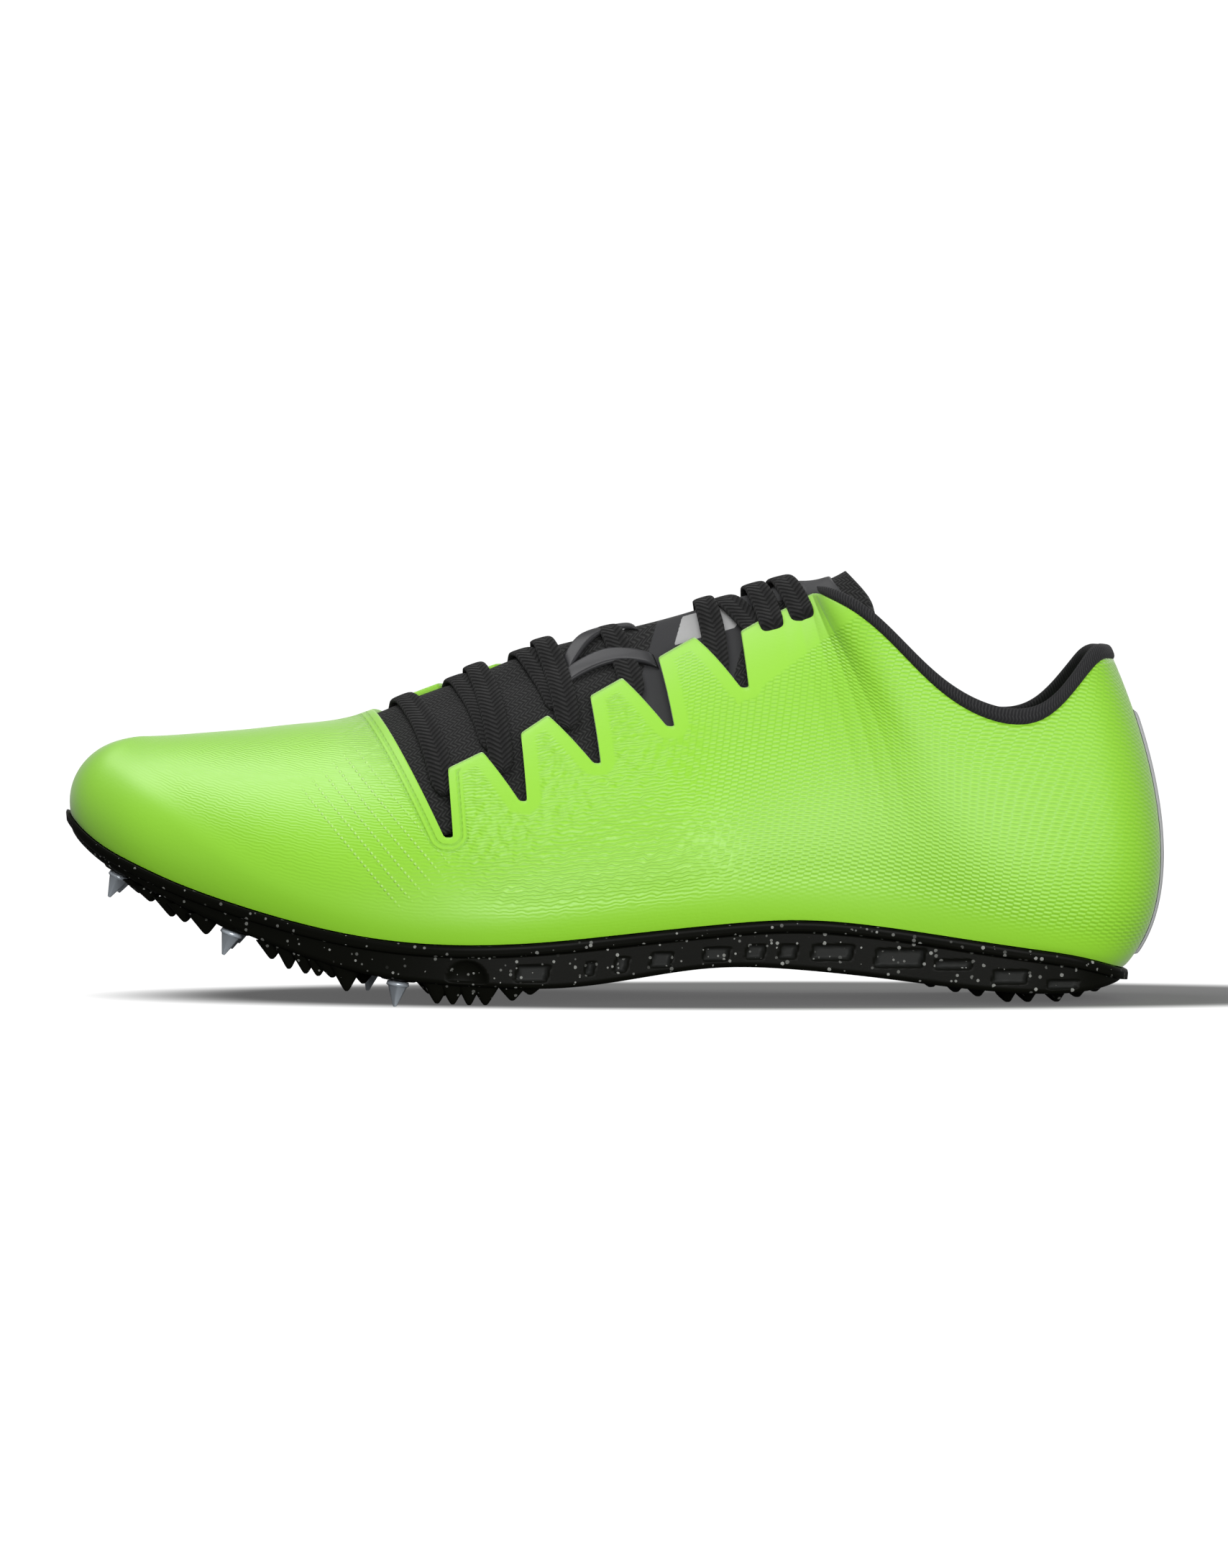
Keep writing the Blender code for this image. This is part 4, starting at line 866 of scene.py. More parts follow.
def wall_columns():
    """Columns of the wall all the way round: place, top girth, and 1 where they lie on the throat's edge."""
    ahead = np.linspace(0, EDGES[0, 0], AHEAD_COLUMNS)[:-1]
    behind = np.linspace(CORNER, 1, BEHIND_COLUMNS)
    sides = []
    for side in (-1, 1):
        edge = rounded_edge(side)
        place = np.concatenate((ahead, edge[:, 0], behind))
        top = np.concatenate((np.ones(len(ahead)), edge[:, 1], np.ones(len(behind))))
        throat = np.concatenate((np.zeros(len(ahead)), np.ones(len(edge)), np.zeros(len(behind))))
        keep = np.concatenate(((True,), np.diff(place) > WELD))
        sides.append((place[keep], top[keep], throat[keep]))
    outer, inner = sides
    place, top, throat = (np.concatenate((a[::-1], b[1:-1])) for a, b in zip((-outer[0], *outer[1:]), inner))
    return place, top, throat


def rand_girth(place):
    """Top of the rand up the girth: the mean of seven readings of its table, side by side."""
    knots, values = zip(*RAND)
    moves = np.linspace(-0.02, 0.02, 7)
    return sum(np.interp(np.clip(np.abs(place) + move, 0, 1), knots, values) for move in moves) / len(moves)


def line_fields(points, ends):
    """Way along a slanting line of the side view, and height square to it, in millimetres."""
    start, end = (np.array(photo(*pixel)) for pixel in ends)
    along = (end - start) / np.linalg.norm(end - start)
    flat = points[..., (0, 2)] - start
    return flat @ along / MM, flat @ np.array((-along[1], along[0])) / MM


def panel_field(points):
    """Distance that makes a panel smooth: 4 less the height over its line, and far ahead of its start."""
    _, above = line_fields(points, PANEL_LINE)
    behind = (points[..., 0] - photo(*PANEL_LINE[0])[0]) / MM + 2.0
    return np.where(behind > 0, 4.0 - above, FAR) + np.clip(-behind, 0, FAR)


def edge_distance(base, place, top, throat):
    """Distance of each point of the wall from the throat's edge or the smooth panel, in millimetres."""
    edge_points = skin(place[throat > 0], top[throat > 0], np.zeros(int(throat.sum())))
    tree = KDTree(len(edge_points))
    for n, point in enumerate(edge_points):
        tree.insert(Vector(point), n)
    tree.balance()
    found = np.array([tree.find(Vector(point))[2] for point in base.reshape(-1, 3)])
    return np.minimum(found.reshape(base.shape[:2]) / MM, panel_field(base))


def wall_fields(base, places, edge, over):
    """Values of the wall that the knit's material reads."""
    run, above = line_fields(base, FRONT_LINE)
    by_front = (np.abs(places) < EDGES[1, 0] + 0.02) & (np.abs(places) > EDGES[0, 0] - 0.05)
    rear = smoothstep(0.0, 30.0, base[..., 0] / MM - 10 + 0.35 * (base[..., 2] / MM - 40))
    front = by_front.astype(float) * (edge < 12)
    return dict(zip(KNIT_FIELDS, (edge, over / MM, np.clip(-above, -1, 60), run, rear, front)))


def make_upper(material):
    """The knit wall: outer face with the rand's step and the film by the throat, lip and inner face."""
    place, top, throat = wall_columns()
    girths = top[:, None] * np.linspace(0, 1, WALL_ROWS)[None]
    places = np.repeat(place[:, None], WALL_ROWS, 1)
    base = form(places, girths)
    over = (girths - rand_girth(places)) * girth_length(place)[:, None]
    edge = edge_distance(base, place, top, throat)
    lift = RAND_STEP * 0.5 * (1 - smoothstep(-3 * MM, 7 * MM, over))
    lift = lift + FILM * (1 - smoothstep(3.0, 4.4, edge))
    lift[:, -1] -= EDGE_SINK * throat
    outer = skin(places, girths, lift)
    outer[:, 0, 2] = feather_height(outer[:, 0, 0])
    lip = skin(place, top, np.full(place.shape, LIP - WALL))[:, None]
    inner_girths = top[:, None] * np.linspace(1, 0, INNER_ROWS)[None]
    inner_places = np.repeat(place[:, None], INNER_ROWS, 1)
    inner = skin(inner_places, inner_girths, np.full(inner_girths.shape, -WALL))
    points = np.concatenate((outer, lip, inner), 1)
    rest = 1 + INNER_ROWS
    uv = widened(np.stack((places * HALF_ROUND, lengths(base, 1)), -1) / MM, rest)
    values = {key: [widened(field, rest)] for key, field in wall_fields(base, places, edge, over).items()}
    item = mesh_piece("knit_upper", [(points, True)], material, [uv], values)
    return finish_piece(item, "knit", "upper")


# Collar binding and heel strip

CAP_TURNS = (0.5, 1.0, 1.4, 1.57)
BINDING_RISE = 1.7 * MM
BINDING_WIDTH = 3.2 * MM
BINDING_HEIGHT = 4.4 * MM


def make_binding(material):
    """A rolled knit band on the collar's edge."""
    place = np.linspace(CORNER + 10 * FINE, 2 - CORNER - 10 * FINE, 320)
    half_in = np.full(place.shape, -WALL / 2)
    edge = skin(place, 1.0, half_in)
    up = unit(edge - skin(place, 1 - 20 * FINE, half_in))
    out = unit(skin(place, 1.0, np.full(place.shape, MM)) - skin(place, 1.0, np.zeros(place.shape)))
    middle = edge + up * BINDING_RISE
    item = tube("knit_binding", middle, out, up, BINDING_WIDTH, BINDING_HEIGHT, material, 0.75, 24)
    return finish_piece(item, "binding", "collar_binding")


def make_strip(material):
    """The reflective strip down the middle of the heel."""
    columns, rows = 25, 90
    place = 1 + np.linspace(-0.0125, 0.0125, columns)
    girth = np.linspace(rand_girth(np.array(1.0)) + 0.02, 0.86, rows)
    places, girths = np.meshgrid(place, girth, indexing="ij")
    share = np.abs(np.linspace(-1, 1, columns))[:, None]
    ends = np.abs(np.linspace(-1, 1, rows))[None]
    lift = (0.15 + 0.75 * (1 - share**8) * (1 - ends**60)) * MM
    uv = np.stack((places * HALF_ROUND / MM, girths * 80), -1)
    item = mesh_piece("reflective_strip", [(skin(places, girths, lift), False)], material, [uv])
    return finish_piece(item, "strip", "heel_strip")


# Tongue

TONGUE_ROWS = 170
FLAP_ROWS = 40
PAD_ROWS = slice(158, 196)
PAD_HALF = 0.30
PAD_HIGH = 0.9 * MM
PAD_LOW = -0.1 * MM

# The tongue's label in pixels, along and across its lean: start and end of its rise and its fall
LABEL_LEAN = 0.29
LABEL_MIDDLE = (980, 850)
GROUND_ALONG = (918, 922, 1046, 1050)
FIELD_ALONG = (952, 955, 1030, 1034)
FIELD_ACROSS = (848, 851, 884, 888)


def tongue_sides(places):
    """Outer and inner edge of the tongue by its coordinate over the ridge."""
    knots, outer, inner = zip(*TONGUE)
    return -(1 - np.interp(places, knots, outer)), 1 - np.interp(places, knots, inner)


def tongue_lift(places, across):
    """Lift of the tongue's face: tucked under the wall at its sides, risen at the ridge and the back."""
    ridge = 1.7 + 1.5 * smoothstep(0.40, 0.50, places)
    outer = 1 - smoothstep(0.04, 0.20, -across)
    inner = 1 - smoothstep(0.0, 0.10, across)
    return TONGUE_LIFT + ridge * MM * np.where(across < 0, outer, inner)


def tongue_surface(lift, spread):
    """The tongue's surface by place and share of its width, with its free end carried back and up."""
    places = np.linspace(EDGES[0, 0] - 0.03, COLLAR_FRONT - 2 * FINE, TONGUE_ROWS)
    outer, inner = tongue_sides(places)
    across = np.where(spread[None] < 0, -spread[None] * outer[:, None], spread[None] * inner[:, None])
    wide = np.repeat(places[:, None], len(spread), 1)
    grid = arch(wide, across, tongue_lift(wide, across) + lift)
    off = np.abs(spread)
    run = (11 + 3.5 * smoothstep(0.1, 0.4, off) - 9 * smoothstep(0.55, 1.0, off)) * MM
    rise = 3.4 * MM * (1 - smoothstep(0.1, 0.6, off))
    step = np.linspace(0, 1, FLAP_ROWS)[1:, None]
    flap = grid[-1] + np.stack((run * step, 0 * run * step, rise * step**2), -1)
    return np.concatenate((grid, flap))


def label_mask(points):
    """Where each point lies: 0 off the tongue's label, 0.5 on its dark ground, 1 on its pale field."""
    x = points[..., 0] / PIXEL + PHOTO_MIDDLE
    y = PHOTO_FLOOR - points[..., 2] / PIXEL
    along = x + LABEL_LEAN * (y - LABEL_MIDDLE[1])
    across = y + LABEL_LEAN * (x - LABEL_MIDDLE[0])
    field = between(along, *FIELD_ALONG) * between(across, *FIELD_ACROSS)
    return 0.5 * between(along, *GROUND_ALONG) + 0.5 * field


def make_tongue(cloth, pad):
    """The tongue, closed round its free end, and the smooth pad on top of it."""
    spread = np.linspace(-1, 1, 121)
    high = tongue_surface(0.0, spread)
    low = tongue_surface(-TONGUE_WALL, spread)
    middle = ((high[-1] + low[-1]) / 2 + np.array((0.8 * MM, 0, 0)))[None]
    grid = np.concatenate((looped(high, low), looped(middle, middle)))
    way = np.stack((lengths(high, 0), lengths(high, 1)), -1) / MM
    uv = looped(way, way)
    uv = np.concatenate((uv, uv[-1:]))
    item = mesh_piece("mesh_tongue", [(grid, False)], cloth, [uv], {"label": [label_mask(grid)]})
    finish_piece(item, "tongue_mesh", "tongue")
    top = np.linspace(-PAD_HALF, PAD_HALF, 41)
    pad_high, pad_low = (tongue_surface(lift, top)[PAD_ROWS] for lift in (PAD_HIGH, PAD_LOW))
    item = mesh_piece("tongue_pad", [(shell(pad_high, pad_low), False)], pad)
    return finish_piece(item, "patch", "tongue_patch")


# Laces

# Each row: outer end and ridge crossing in pixels of the photograph, way past the ridge in millimetres,
# height over the tongue's face at the outer end, the ridge and the inner end in millimetres, and the CAD row
LACES = (
    ((624, 1092), (556, 971), 9, (0.9, 1.3, 0.9), ("lace_row_1",)),
    ((703, 1062), (660, 934), 8, (0.9, 2.4, 1.2), ("lace_row_2",)),
    ((690, 1030), (631, 946), 4, (0.5, 1.2, 0.9), ()),
    ((794, 1003), (756, 892), 8, (0.9, 2.4, 1.2), ("lace_row_3",)),
    ((780, 975), (724, 906), 4, (0.5, 1.2, 0.9), ()),
    ((884, 962), (846, 869), 8, (0.9, 1.4, 0.9), ("lace_row_4",)),
    ((998, 935), (983, 827), 8, (0.9, 2.1, 1.0), ("lace_row_5",)),
    ((1077, 885), (1050, 810), 9, (3.9, 1.9, 1.6), ("lace_row_6",)),
    ((1130, 858), (1085, 815), 7, (3.9, 1.9, 1.6), ("lace_row_7",)),
    ((1053, 874), (1000, 836), 5, (2.0, 0.7, 0.7), ()),
)
SEARCHED = 24
LACE_ROWS = 90

# Share of a lace's way in which it starts, its width there, and how far it dips, over the wall and under it
OVER_WALL_LIFT = 3
STARTS = {True: (0.14, 0.10, 2.2 * MM), False: (0.09, 0.35, 0.0)}

STRAPS = (((785, 931), (850, 905), (912, 908)), ((786, 916), (836, 880), (886, 868)))
STRAP_HALF = 0.034
STRAP_WALL = 0.9 * MM


def arch_seeds():
    """A coarse grid over the instep to start the search from."""
    place, over = np.linspace(0.2, COLLAR_FRONT, 50), np.linspace(-0.8, 0.8, 61)
    places, across = np.meshgrid(place, over, indexing="ij")
    return places, across, arch(places, across, np.zeros(places.shape))


def locate_plan(seeds, x, y):
    """Place and coordinate over the ridge of the point that lies at x, y in plan."""
    places, across, points = seeds
    best = np.argmin((points[..., 0] - x)**2 + (points[..., 1] - y)**2)
    place, over = places.flat[best], across.flat[best]
    flat = np.zeros(1)
    for _ in range(4):
        here = arch(place, over, flat)[0]
        turn = -FINE if over > 0 else FINE
        along = (arch(place - FINE, over, flat)[0] - here) / -FINE
        up = (arch(place, over - turn, flat)[0] - here) / -turn
        system = np.array(((along[0], up[0]), (along[1], up[1])))
        step = np.clip(np.linalg.solve(system, (x - here[0], y - here[1])), -0.02, 0.02)
        place = min(place + step[0], COLLAR_FRONT)
        over += step[1]
    return place, over


def lace_route(seeds, outer_end, ridge_at, past):
    """Places and coordinates over the ridge of a row that is straight in plan, and its share at the ridge."""
    place, girth = locate(*photo(*outer_end))
    outer = form(-place, girth)[:2]
    ridge_x, _ = photo(*ridge_at)
    rows = slice(0, COLLAR_ROW + 1)
    ridge_y = np.interp(ridge_x / LENGTH + 0.5, section("top_along")[rows], section("top_medial")[rows])
    way = np.array((ridge_x, ridge_y * BALL_WIDTH)) - outer
    shares = np.linspace(0, 1 + past * MM / np.linalg.norm(way), SEARCHED)
    found = np.array([locate_plan(seeds, *(outer + way * share)) for share in shares])
    at, fine = np.linspace(0, 1, SEARCHED), np.linspace(0, 1, LACE_ROWS)
    places, across = (read(fit(at, values), fine) for values in found.T)
    return np.minimum(places, COLLAR_FRONT - 2 * FINE), across, 1 / shares[-1]


def make_laces(material):
    """The flat lace rows over the tongue, narrower at the ridge and drawn in where they start."""
    seeds = arch_seeds()
    fine = np.linspace(0, 1, LACE_ROWS)
    for number, (outer_end, ridge_at, past, lifts, nodes) in enumerate(LACES, 1):
        places, across, ridge = lace_route(seeds, outer_end, ridge_at, past)
        start, end_width, dip = STARTS[lifts[0] > OVER_WALL_LIFT]
        over = np.interp(fine, (0.0, ridge, 1.0), lifts) * MM
        lift = tongue_lift(places, across) + np.convolve(np.pad(over, 8, "edge"), np.ones(17) / 17, "valid")
        lift = lift - dip * (1 - smoothstep(0.0, 0.12, fine))
        line = arch(places, across, lift)
        up = unit(arch(places, across, lift + MM) - line)
        side = unit(np.cross(np.gradient(line, axis=0), up))
        tip = np.clip(fine / start, 0.02, 1)
        pinch = 1 - 0.18 * np.exp(-((fine - ridge) / 0.2)**2)
        pinch = pinch * (end_width + (1 - end_width) * np.sqrt(1 - (1 - tip)**2))
        width, height = LACE_WIDTH * pinch, LACE_WALL * (1 + 0.3 * (1 - pinch))
        item = tube(f"lace_{number}", line, side, up, width, height, material, 0.65, 28)
        finish_piece(item, "lace", *nodes)


def make_keeper(material):
    """The webbing loop on the tongue, as two straps that arch over the lace."""
    grids = []
    share = np.linspace(0, 1, 50)
    for marks in STRAPS:
        found = np.array([locate(*photo(*mark)) for mark in marks])
        place, girth = (read(fit((0, 0.5, 1), values), share)[:, None] for values in found.T)
        across = girth - 1 + np.linspace(-STRAP_HALF, STRAP_HALF, 14)[None]
        places = place + 0 * across
        lift = tongue_lift(places, across) + (0.2 + 0.9 * np.sin(share * math.pi)[:, None]**0.5) * MM
        low = arch(places, across, lift)
        grids.append((shell(arch(places, across, lift + STRAP_WALL), low), False))
        grids.append((low[:, ::-1], False))
    item = mesh_piece("webbing_keeper", grids, material)
    return finish_piece(item, "keeper", "lace_keeper")


# Sole

# Windows in the sole's side in pixels: left, right, high and low
WINDOWS = (
    (722, 764, 1331, 1354), (816, 827, 1327, 1346), (856, 872, 1321, 1342), (905, 932, 1315, 1336),
    (977, 1010, 1309, 1328), (1035, 1059, 1306, 1326), (1081, 1103, 1306, 1326), (1125, 1179, 1307, 1328),
    (1211, 1276, 1313, 1338), (1294, 1343, 1328, 1341), (1373, 1419, 1342, 1361), (1449, 1491, 1356, 1369),
)
WINDOW_LEAN = 0.25
WINDOW_SOFT = 0.5 * MM
WINDOW_DEPTH = 1.1 * MM
DOME_MIDDLE = (657, 1352)
DOME_RADIUS = 27
DOME_DEPTH = 1.6 * MM
WALL_START = 1.12
SOLE_PLACES = 560


def side_profile():
    """Rows of the sole's side: reach past the feather line, way down, and whether rim, wall or base."""
    profile = []
    for t in np.linspace(0, 1, 5):
        profile.append((RIM_REACH * (0.1 + 0.7 * t), 0.0, "rim"))
    for t in np.linspace(0, 1, 4):
        reach = RIM_REACH * (0.9 + 0.1 * math.sin(t * math.pi / 2))
        profile.append((reach, RIM_HEIGHT * (0.06 + 0.3 * t), "rim"))
    for t in np.linspace(0.2, 1, 3):
        profile.append((RIM_REACH * (1 - 0.1 * t), RIM_HEIGHT * (0.36 + 0.6 * t), "rim"))
    for t in np.linspace(0, 1, 4):
        profile.append((RIM_REACH - RECESS * (0.25 + 0.75 * t), RIM_HEIGHT * (1.0 + 0.12 * t), "rim"))
    for t in np.linspace(0.04, 1, 22):
        profile.append((RIM_REACH - RECESS, t, "wall"))
    for turn in np.linspace(0.2, 1, 4) * math.pi / 2:
        reach = RIM_REACH - RECESS - SOLE_CHAMFER * (1 - math.cos(turn))
        profile.append((reach, 1 - math.sin(turn), "base"))
    return profile


def window_mask(x, z):
    """How deep each point lies in a window, 0 to 1: leaning boxes with soft edges."""
    mask = np.zeros(len(x))
    for left, right, high, low in WINDOWS:
        x0, z0 = photo(left, low)
        x1, z1 = photo(right, high)
        at = x - WINDOW_LEAN * (z - z0)
        inside = between(at, x0, x0 + WINDOW_SOFT, x1 - WINDOW_SOFT, x1)
        inside *= between(z, z0, z0 + WINDOW_SOFT, z1 - WINDOW_SOFT, z1)
        mask = np.maximum(mask, inside)
    return mask


def side_wall(places):
    """Points of the sole's side from its top edge to its underside, with its windows, and the dome let in."""
    rows, masks = [], []
    feather_x, feather_y = feather_point(places)
    nx, ny = outward(places)
    dome_x, dome_z = photo(*DOME_MIDDLE)
    for reach, down, kind in side_profile():
        x, y = feather_x + nx * reach, feather_y + ny * reach
        mask = np.zeros(len(x))
        if kind == "rim":
            z = feather_height(x) - GAP - down
        elif kind == "base":
            z = underside_height(x) + SOLE_CHAMFER * down
        else:
            top = feather_height(x) - GAP - RIM_HEIGHT * WALL_START
            z = top + (underside_height(x) + SOLE_CHAMFER - top) * down
            mask = window_mask(x, z)
            away = np.hypot(x - dome_x, z - dome_z) / (DOME_RADIUS * PIXEL)
            deep = mask * WINDOW_DEPTH + np.sqrt(np.clip(1 - away**2, 0, 1)) * DOME_DEPTH * (y < 0)
            x, y = x - nx * deep, y - ny * deep
        rows.append(np.stack((x, y, z), -1))
        masks.append(mask)
    return np.stack(rows, 1), np.stack(masks, 1)


def make_sole(material):
    """The plate: its side with rim, recess, windows and dome, and the underside and top sheets."""
    wall, window = side_wall(round_places(SOLE_PLACES))
    under = sheet_across(wall[:, -1], 30)[:, ::-1]
    under[..., 2] = underside_height(under[..., 0])
    cover = sheet_across(wall[:, 0], 8)
    cover[..., 2] = feather_height(cover[..., 0]) - GAP
    values = {"window": [window, np.zeros(under.shape[:2]), np.zeros(cover.shape[:2])]}
    grids = [(wall, True), (under, False), (cover, False)]
    item = mesh_piece("moulded_plate", grids, material, None, values)
    return finish_piece(item, "plate", "sole")


# Lugs, bars and pins

# Tips in pixels of the photograph
LUG_TIPS = (
    (120, 1194), (133, 1200), (146, 1214), (168, 1228), (187, 1240), (205, 1251), (236, 1271), (255, 1278),
    (286, 1294), (358, 1318), (381, 1326), (405, 1339), (429, 1345), (447, 1348), (467, 1350), (487, 1368),
    (541, 1372), (592, 1381), (614, 1384), (636, 1385), (659, 1386), (682, 1386), (720, 1380), (745, 1372),
)
BARS = (
    (1293, 1369), (1327, 1376), (1358, 1382), (1399, 1390),
    (1427, 1390), (1467, 1390), (1496, 1384), (1521, 1377),
)
LUG_INSETS = ((-1, 4.5 * MM), (1, 4.5 * MM), (-1, 20 * MM), (1, 20 * MM))
LUG_FLOOR = 0.4 * MM
LUG_WIDTH = 6.4 * MM
LUG_TIP = (1.1 * MM, 2.6 * MM)
INNER_LUG_RISE = 1.0 * MM
INNER_LUG_INSET = 10 * MM
MIDDLE_FREE = 3 * MM
PIN_FREE = 6.5 * MM
BAR_INSET = 4.0 * MM
BAR_LENGTH = 6.4 * MM
BAR_TIP = 1.6 * MM
BAR_NARROWING = 0.75

# Steps down a wedge: share of the way, its roundness there, and 0 where it closes
WEDGE = (
    (0.0, 1.0, 1), (0.35, 1.0, 1), (0.7, 1.0, 1), (0.88, 1.0, 1),
    (0.97, 0.86, 1), (1.0, 0.62, 1), (1.0, 0.62, 0),
)

# Pins: share along, share of the ball width across, and height of the boss in millimetres.
# Where no height is given, the boss reaches so far down that the pin stands on the floor
PINS = (
    (0.052, -0.06, 0.5), (0.052, 0.24, 0.5), (0.159, -0.28, 0.5), (0.159, 0.34, 0.5),
    (0.159, 0.04, 0.5), (0.277, 0.36, None), (0.309, -0.37, None),
)
PIN_HEIGHT = 5.2 * MM
PIN_FLANGE_HEIGHT = 1.2 * MM

# Way down and radius of a pin's rings in millimetres; they are square below the flange
PIN_RINGS = (
    (0.0, 0.0), (0.0, 2.7), (0.9, 2.9), (1.2, 2.5), (1.25, 2.35), (6.3, 0.42), (6.4, 0.28), (6.4, 0.0),
)
FLANGE_ROUND = 1.1


def wedge_rings(x, y, tip, root, length, width, flat, tip_width):
    """Rings of a rounded wedge from its root down to its tip."""
    turns = np.linspace(0, math.tau, 25)
    rings = []
    for t, cap, spread in WEDGE:
        long = (length + (flat - length) * t) * cap
        wide = (width + (tip_width - width) * t) * (0.5 + 0.5 * cap)
        a, b = superellipse(turns, long, wide, 0.5)
        z = np.full(len(turns), root + (tip - root) * t)
        rings.append(np.stack((x + a * spread, y + b * spread, z), -1))
    return np.array(rings)


def no_windows(grids):
    """The plate's window value for pieces that have none."""
    return {"window": [np.zeros(grid.shape[:2]) for grid, _ in grids]}


def side_place(x, side):
    """Place round the last whose feather point lies at the given x."""
    return side * float(np.interp(x / LENGTH + 0.5, section("along"), KNOTS))


def make_lugs(material):
    """Wedges in two rows on both sides of the forefoot, clear of the pins, and bars across the heel."""
    grids = []
    pins = [((along - 0.5) * LENGTH, across * BALL_WIDTH) for along, across, _ in PINS]
    for px, py in LUG_TIPS:
        at, tip = photo(px, py)
        length = (8.4 + 1.4 * math.sin(2.4 * px)) * MM
        for side, inset in LUG_INSETS:
            place = side_place(at, side)
            nx, ny = outward(place)
            feather_x, feather_y = feather_point(place)
            x, y = feather_x - nx * inset, feather_y - ny * inset
            by_pin = any(abs(x - a) < PIN_FREE and abs(y - b) < PIN_FREE for a, b in pins)
            if by_pin or abs(y) < MIDDLE_FREE:
                continue
            low = max(tip, LUG_FLOOR) + (INNER_LUG_RISE if inset > INNER_LUG_INSET else 0.0)
            rings = wedge_rings(x, y, low, underside_height(x) + MM, length, LUG_WIDTH, *LUG_TIP)
            grids.append((rings, False))
    for px, py in BARS:
        x, tip = photo(px, py)
        outer, inner = (feather_point(side_place(x, side))[1] - side * BAR_INSET for side in (-1, 1))
        wide, y = inner - outer, (outer + inner) / 2
        root = underside_height(x) + MM
        rings = wedge_rings(x, y, max(tip, 0.0), root, BAR_LENGTH, wide, BAR_TIP, wide * BAR_NARROWING)
        grids.append((rings, False))
    item = mesh_piece("plate_lugs", grids, material, None, no_windows(grids))
    return finish_piece(item, "plate")


def make_pins(material, plate):
    """Steel spikes, square in section below a round flange, and their bosses."""
    turns = np.linspace(0, math.tau, 33)
    square = (np.abs(np.cos(turns)) + np.abs(np.sin(turns)))**0.9
    grids, bosses = [], []
    for along, across, boss in PINS:
        x = (along - 0.5) * LENGTH
        slope = (underside_height(x + MM) - underside_height(x - MM)) / (2 * MM)
        lean = math.atan(-slope)
        down = np.array((-math.sin(lean), 0, -math.cos(lean)))
        ahead = np.array((math.cos(lean), 0, -math.sin(lean)))
        around = ahead * np.cos(turns)[:, None] + np.array((0, 1, 0)) * np.sin(turns)[:, None]
        middle = np.array((x, across * BALL_WIDTH, underside_height(x)))
        full = underside_height(x) / math.cos(lean) - PIN_HEIGHT - PIN_FLANGE_HEIGHT - GAP
        drop = boss or full / MM
        start = drop + GAP / MM
        rings = []
        for at, radius in PIN_RINGS:
            wide = radius / (square if at > FLANGE_ROUND else np.ones(len(turns)))
            rings.append(middle + (down * (start + at) + around * wide[:, None]) * MM)
        grids.append((np.array(rings), False))
        boss_rings = []
        for at, radius in ((-1.0, 5.4), (drop * 0.6 - 0.1, 4.7), (drop, 4.2), (drop, 0.0)):
            boss_rings.append(middle + (down * at + around * radius) * MM)
        bosses.append((np.array(boss_rings), False))
    item = mesh_piece("steel_pins", grids, material)
    finish_piece(item, "pin_steel", *[f"pin_{n}" for n in range(1, len(PINS) + 1)])
    item = mesh_piece("pin_bosses", bosses, plate, None, no_windows(bosses))
    return finish_piece(item, "plate")


# Insole

SOCK_COLUMNS = 40
SOCK_RISE = 4 * MM
SOCK_HOLLOW = 1.6 * MM


def make_insole(material):
    """The sock inside: a sheet across the feather line, raised over it and hollow in the middle."""
    places = round_places(240)
    x, y = feather_point(places)
    nx, ny = outward(places)
    inset = WALL + 2 * GAP
    x, y = x - nx * inset, y - ny * inset
    sheet = sheet_across(np.stack((x, y, feather_height(x) + SOCK_RISE), -1), SOCK_COLUMNS)
    sheet[..., 2] -= SOCK_HOLLOW * (1 - np.linspace(-1, 1, SOCK_COLUMNS)**4)
    item = mesh_piece("sock", [(sheet, False)], material, [sheet[..., :2] / MM])
    return finish_piece(item, "sockliner", "insole")


# Studio

# Lamps: place, size and power
LAMPS = {
    "over": ((-0.34, 0.05, 0.9), 0.6, 5.4),
    "front": ((0.28, -1.5, 0.08), 1.0, 31.0),
    "behind": ((0.5, 1.1, 0.8), 0.7, 2.4),
    "heel": ((0.9, -0.8, 0.20), 0.6, 5.2),
}
LAMP_TARGET = (0, 0, 0.04)
WORLD_LIGHT = 0.33
WORLD_SEEN = 1.05
# Middle and size of the floor's painted shadow, an oval where its glow is dark
PAINTED_SHADOW_MIDDLE = (0.045, 0.015, 0.0)
PAINTED_SHADOW_SIZE = (0.175, 0.065, 1.0)
FLOOR_HALF = 9
LENS = 134
SENSOR = 36
TILT = math.radians(1.3)
TARGET_MOVE = (0.4 * MM, -3 * MM)


def light_world(scene):
    """White surroundings, brighter to the camera than as light."""
    world = bpy.data.worlds.new("studio")
    scene.world = world
    world.use_nodes = True
    tree = world.node_tree
    back = tree.nodes["Background"]
    path = tree.nodes.new("ShaderNodeLightPath")
    level = tree.nodes.new("ShaderNodeMapRange")
    tree.links.new(path.outputs["Is Camera Ray"], level.inputs["Value"])
    level.inputs["To Min"].default_value = WORLD_LIGHT
    level.inputs["To Max"].default_value = WORLD_SEEN
    tree.links.new(level.outputs["Result"], back.inputs["Strength"])
    back.inputs["Color"].default_value = (1, 1, 1, 1)


def aim(item, target):
    """Turns a lamp or the camera towards a point."""
    item.rotation_euler = (Vector(target) - item.location).to_track_quat("-Z", "Y").to_euler()
    bpy.context.scene.collection.objects.link(item)


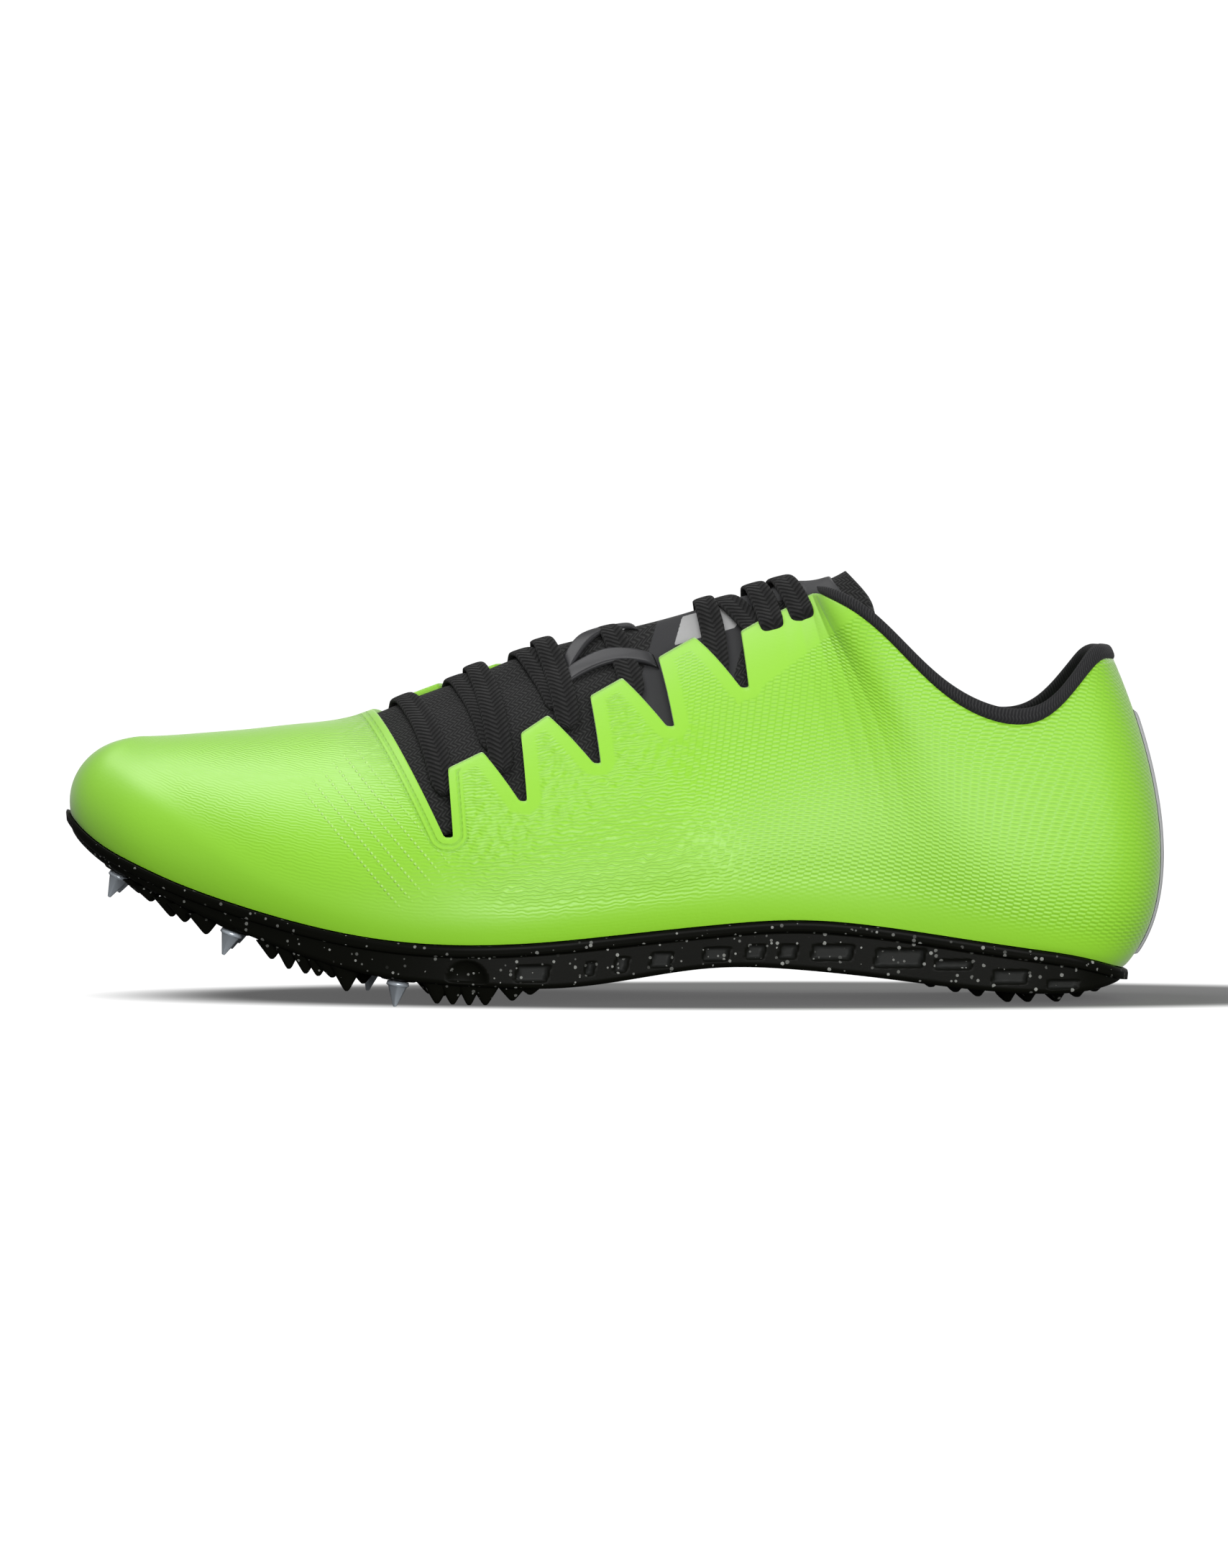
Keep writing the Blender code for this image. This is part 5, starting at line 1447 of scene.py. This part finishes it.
def floor_material():
    """Ground that glows white to the camera alone, with a painted shadow: its glow is dark in an oval below
    the shoe.
    """
    pen = Pen("floor")
    out = pen.place()
    for operation, numbers in (("SUBTRACT", PAINTED_SHADOW_MIDDLE), ("DIVIDE", PAINTED_SHADOW_SIZE)):
        node = pen.add("ShaderNodeVectorMath", operation=operation)
        pen.feed(node.inputs[0], out)
        node.inputs[1].default_value = numbers
        out = node.outputs["Vector"]
    away = pen.add("ShaderNodeVectorMath", operation="LENGTH")
    pen.feed(away.inputs[0], out)
    glow_and_painted_shadow = pen.step(away.outputs["Value"], 0.80, 1.12, 0.11, 1.05)
    seen = pen.add("ShaderNodeLightPath").outputs["Is Camera Ray"]
    return pen.finish(
        Base_Color=(0.11, 0.11, 0.11), Roughness=0.9, Specular_IOR_Level=0.0,
        Emission_Color=(1, 1, 1), Emission_Strength=pen.times(glow_and_painted_shadow, seen),
    )


def light_scene():
    """White surroundings, four soft lamps and the ground."""
    scene = bpy.context.scene
    light_world(scene)
    for name, (place, size, power) in LAMPS.items():
        lamp = bpy.data.lights.new(name, "AREA")
        lamp.shape = "DISK"
        lamp.size = size
        lamp.energy = power
        item = bpy.data.objects.new(name, lamp)
        item.location = place
        aim(item, LAMP_TARGET)
    mesh = bpy.data.meshes.new("floor")
    corners = [(x * FLOOR_HALF, y * FLOOR_HALF, 0) for x, y in ((-1, -1), (1, -1), (1, 1), (-1, 1))]
    mesh.from_pydata(corners, [], [(0, 1, 2, 3)])
    mesh.materials.append(floor_material())
    floor = bpy.data.objects.new("floor", mesh)
    scene.collection.objects.link(floor)
    scene.view_settings.view_transform = "Standard"
    scene.view_settings.look = "None"


def place_camera():
    """A long lens square to the side, a little above level."""
    camera = bpy.data.cameras.new("camera")
    camera.lens = LENS
    camera.sensor_width = SENSOR
    camera.clip_start = 0.1
    camera.clip_end = 50
    distance = PHOTO_SIZE[1] * PIXEL / (SENSOR / LENS)
    x, z = photo(PHOTO_SIZE[0] / 2, PHOTO_SIZE[1] / 2)
    target = Vector((x + SHIFT[0] + TARGET_MOVE[0], TARGET_MOVE[1], z))
    item = bpy.data.objects.new("camera", camera)
    item.location = target + Vector((0, -math.cos(TILT), math.sin(TILT))) * distance
    aim(item, target)
    bpy.context.scene.camera = item


def main():
    """Builds every piece, the lights and the camera."""
    set_shift()
    # Each cloth's second, lighter colour is painted on its raised threads as a highlight
    cloth = cloth_material("black mesh", (0.009, 0.009, 0.009), (0.040, 0.041, 0.040), 1.2, 1.6, 0.10 * MM)
    lace = cloth_material("lace braid", (0.005, 0.005, 0.005), (0.021, 0.021, 0.021), 1.7, 3.15, 0.2 * MM)
    dark, light = (0.012, 0.012, 0.013), (0.035, 0.035, 0.036)
    binding = cloth_material("knit binding", dark, light, 0.9, 1.0, 0.06 * MM)
    pad = plain_material("smooth pad", (0.055, 0.055, 0.057), 0.5, 0.0, 0.01 * MM, 0.12)
    keeper = plain_material("webbing", (0.028, 0.028, 0.030), 0.42, 0.0, 0.02 * MM, 0.22)
    strip = plain_material("reflective film", (0.42, 0.43, 0.43), 0.35, 0.2, 0.01 * MM)
    steel = plain_material("pin steel", (0.60, 0.66, 0.72), 0.30, 0.45, 0.004 * MM)
    plate = plate_material()
    make_upper(knit_material())
    make_binding(binding)
    make_strip(strip)
    make_tongue(cloth, pad)
    make_laces(lace)
    make_keeper(keeper)
    make_sole(plate)
    make_lugs(plate)
    make_pins(steel, plate)
    make_insole(cloth)
    light_scene()
    place_camera()


main()
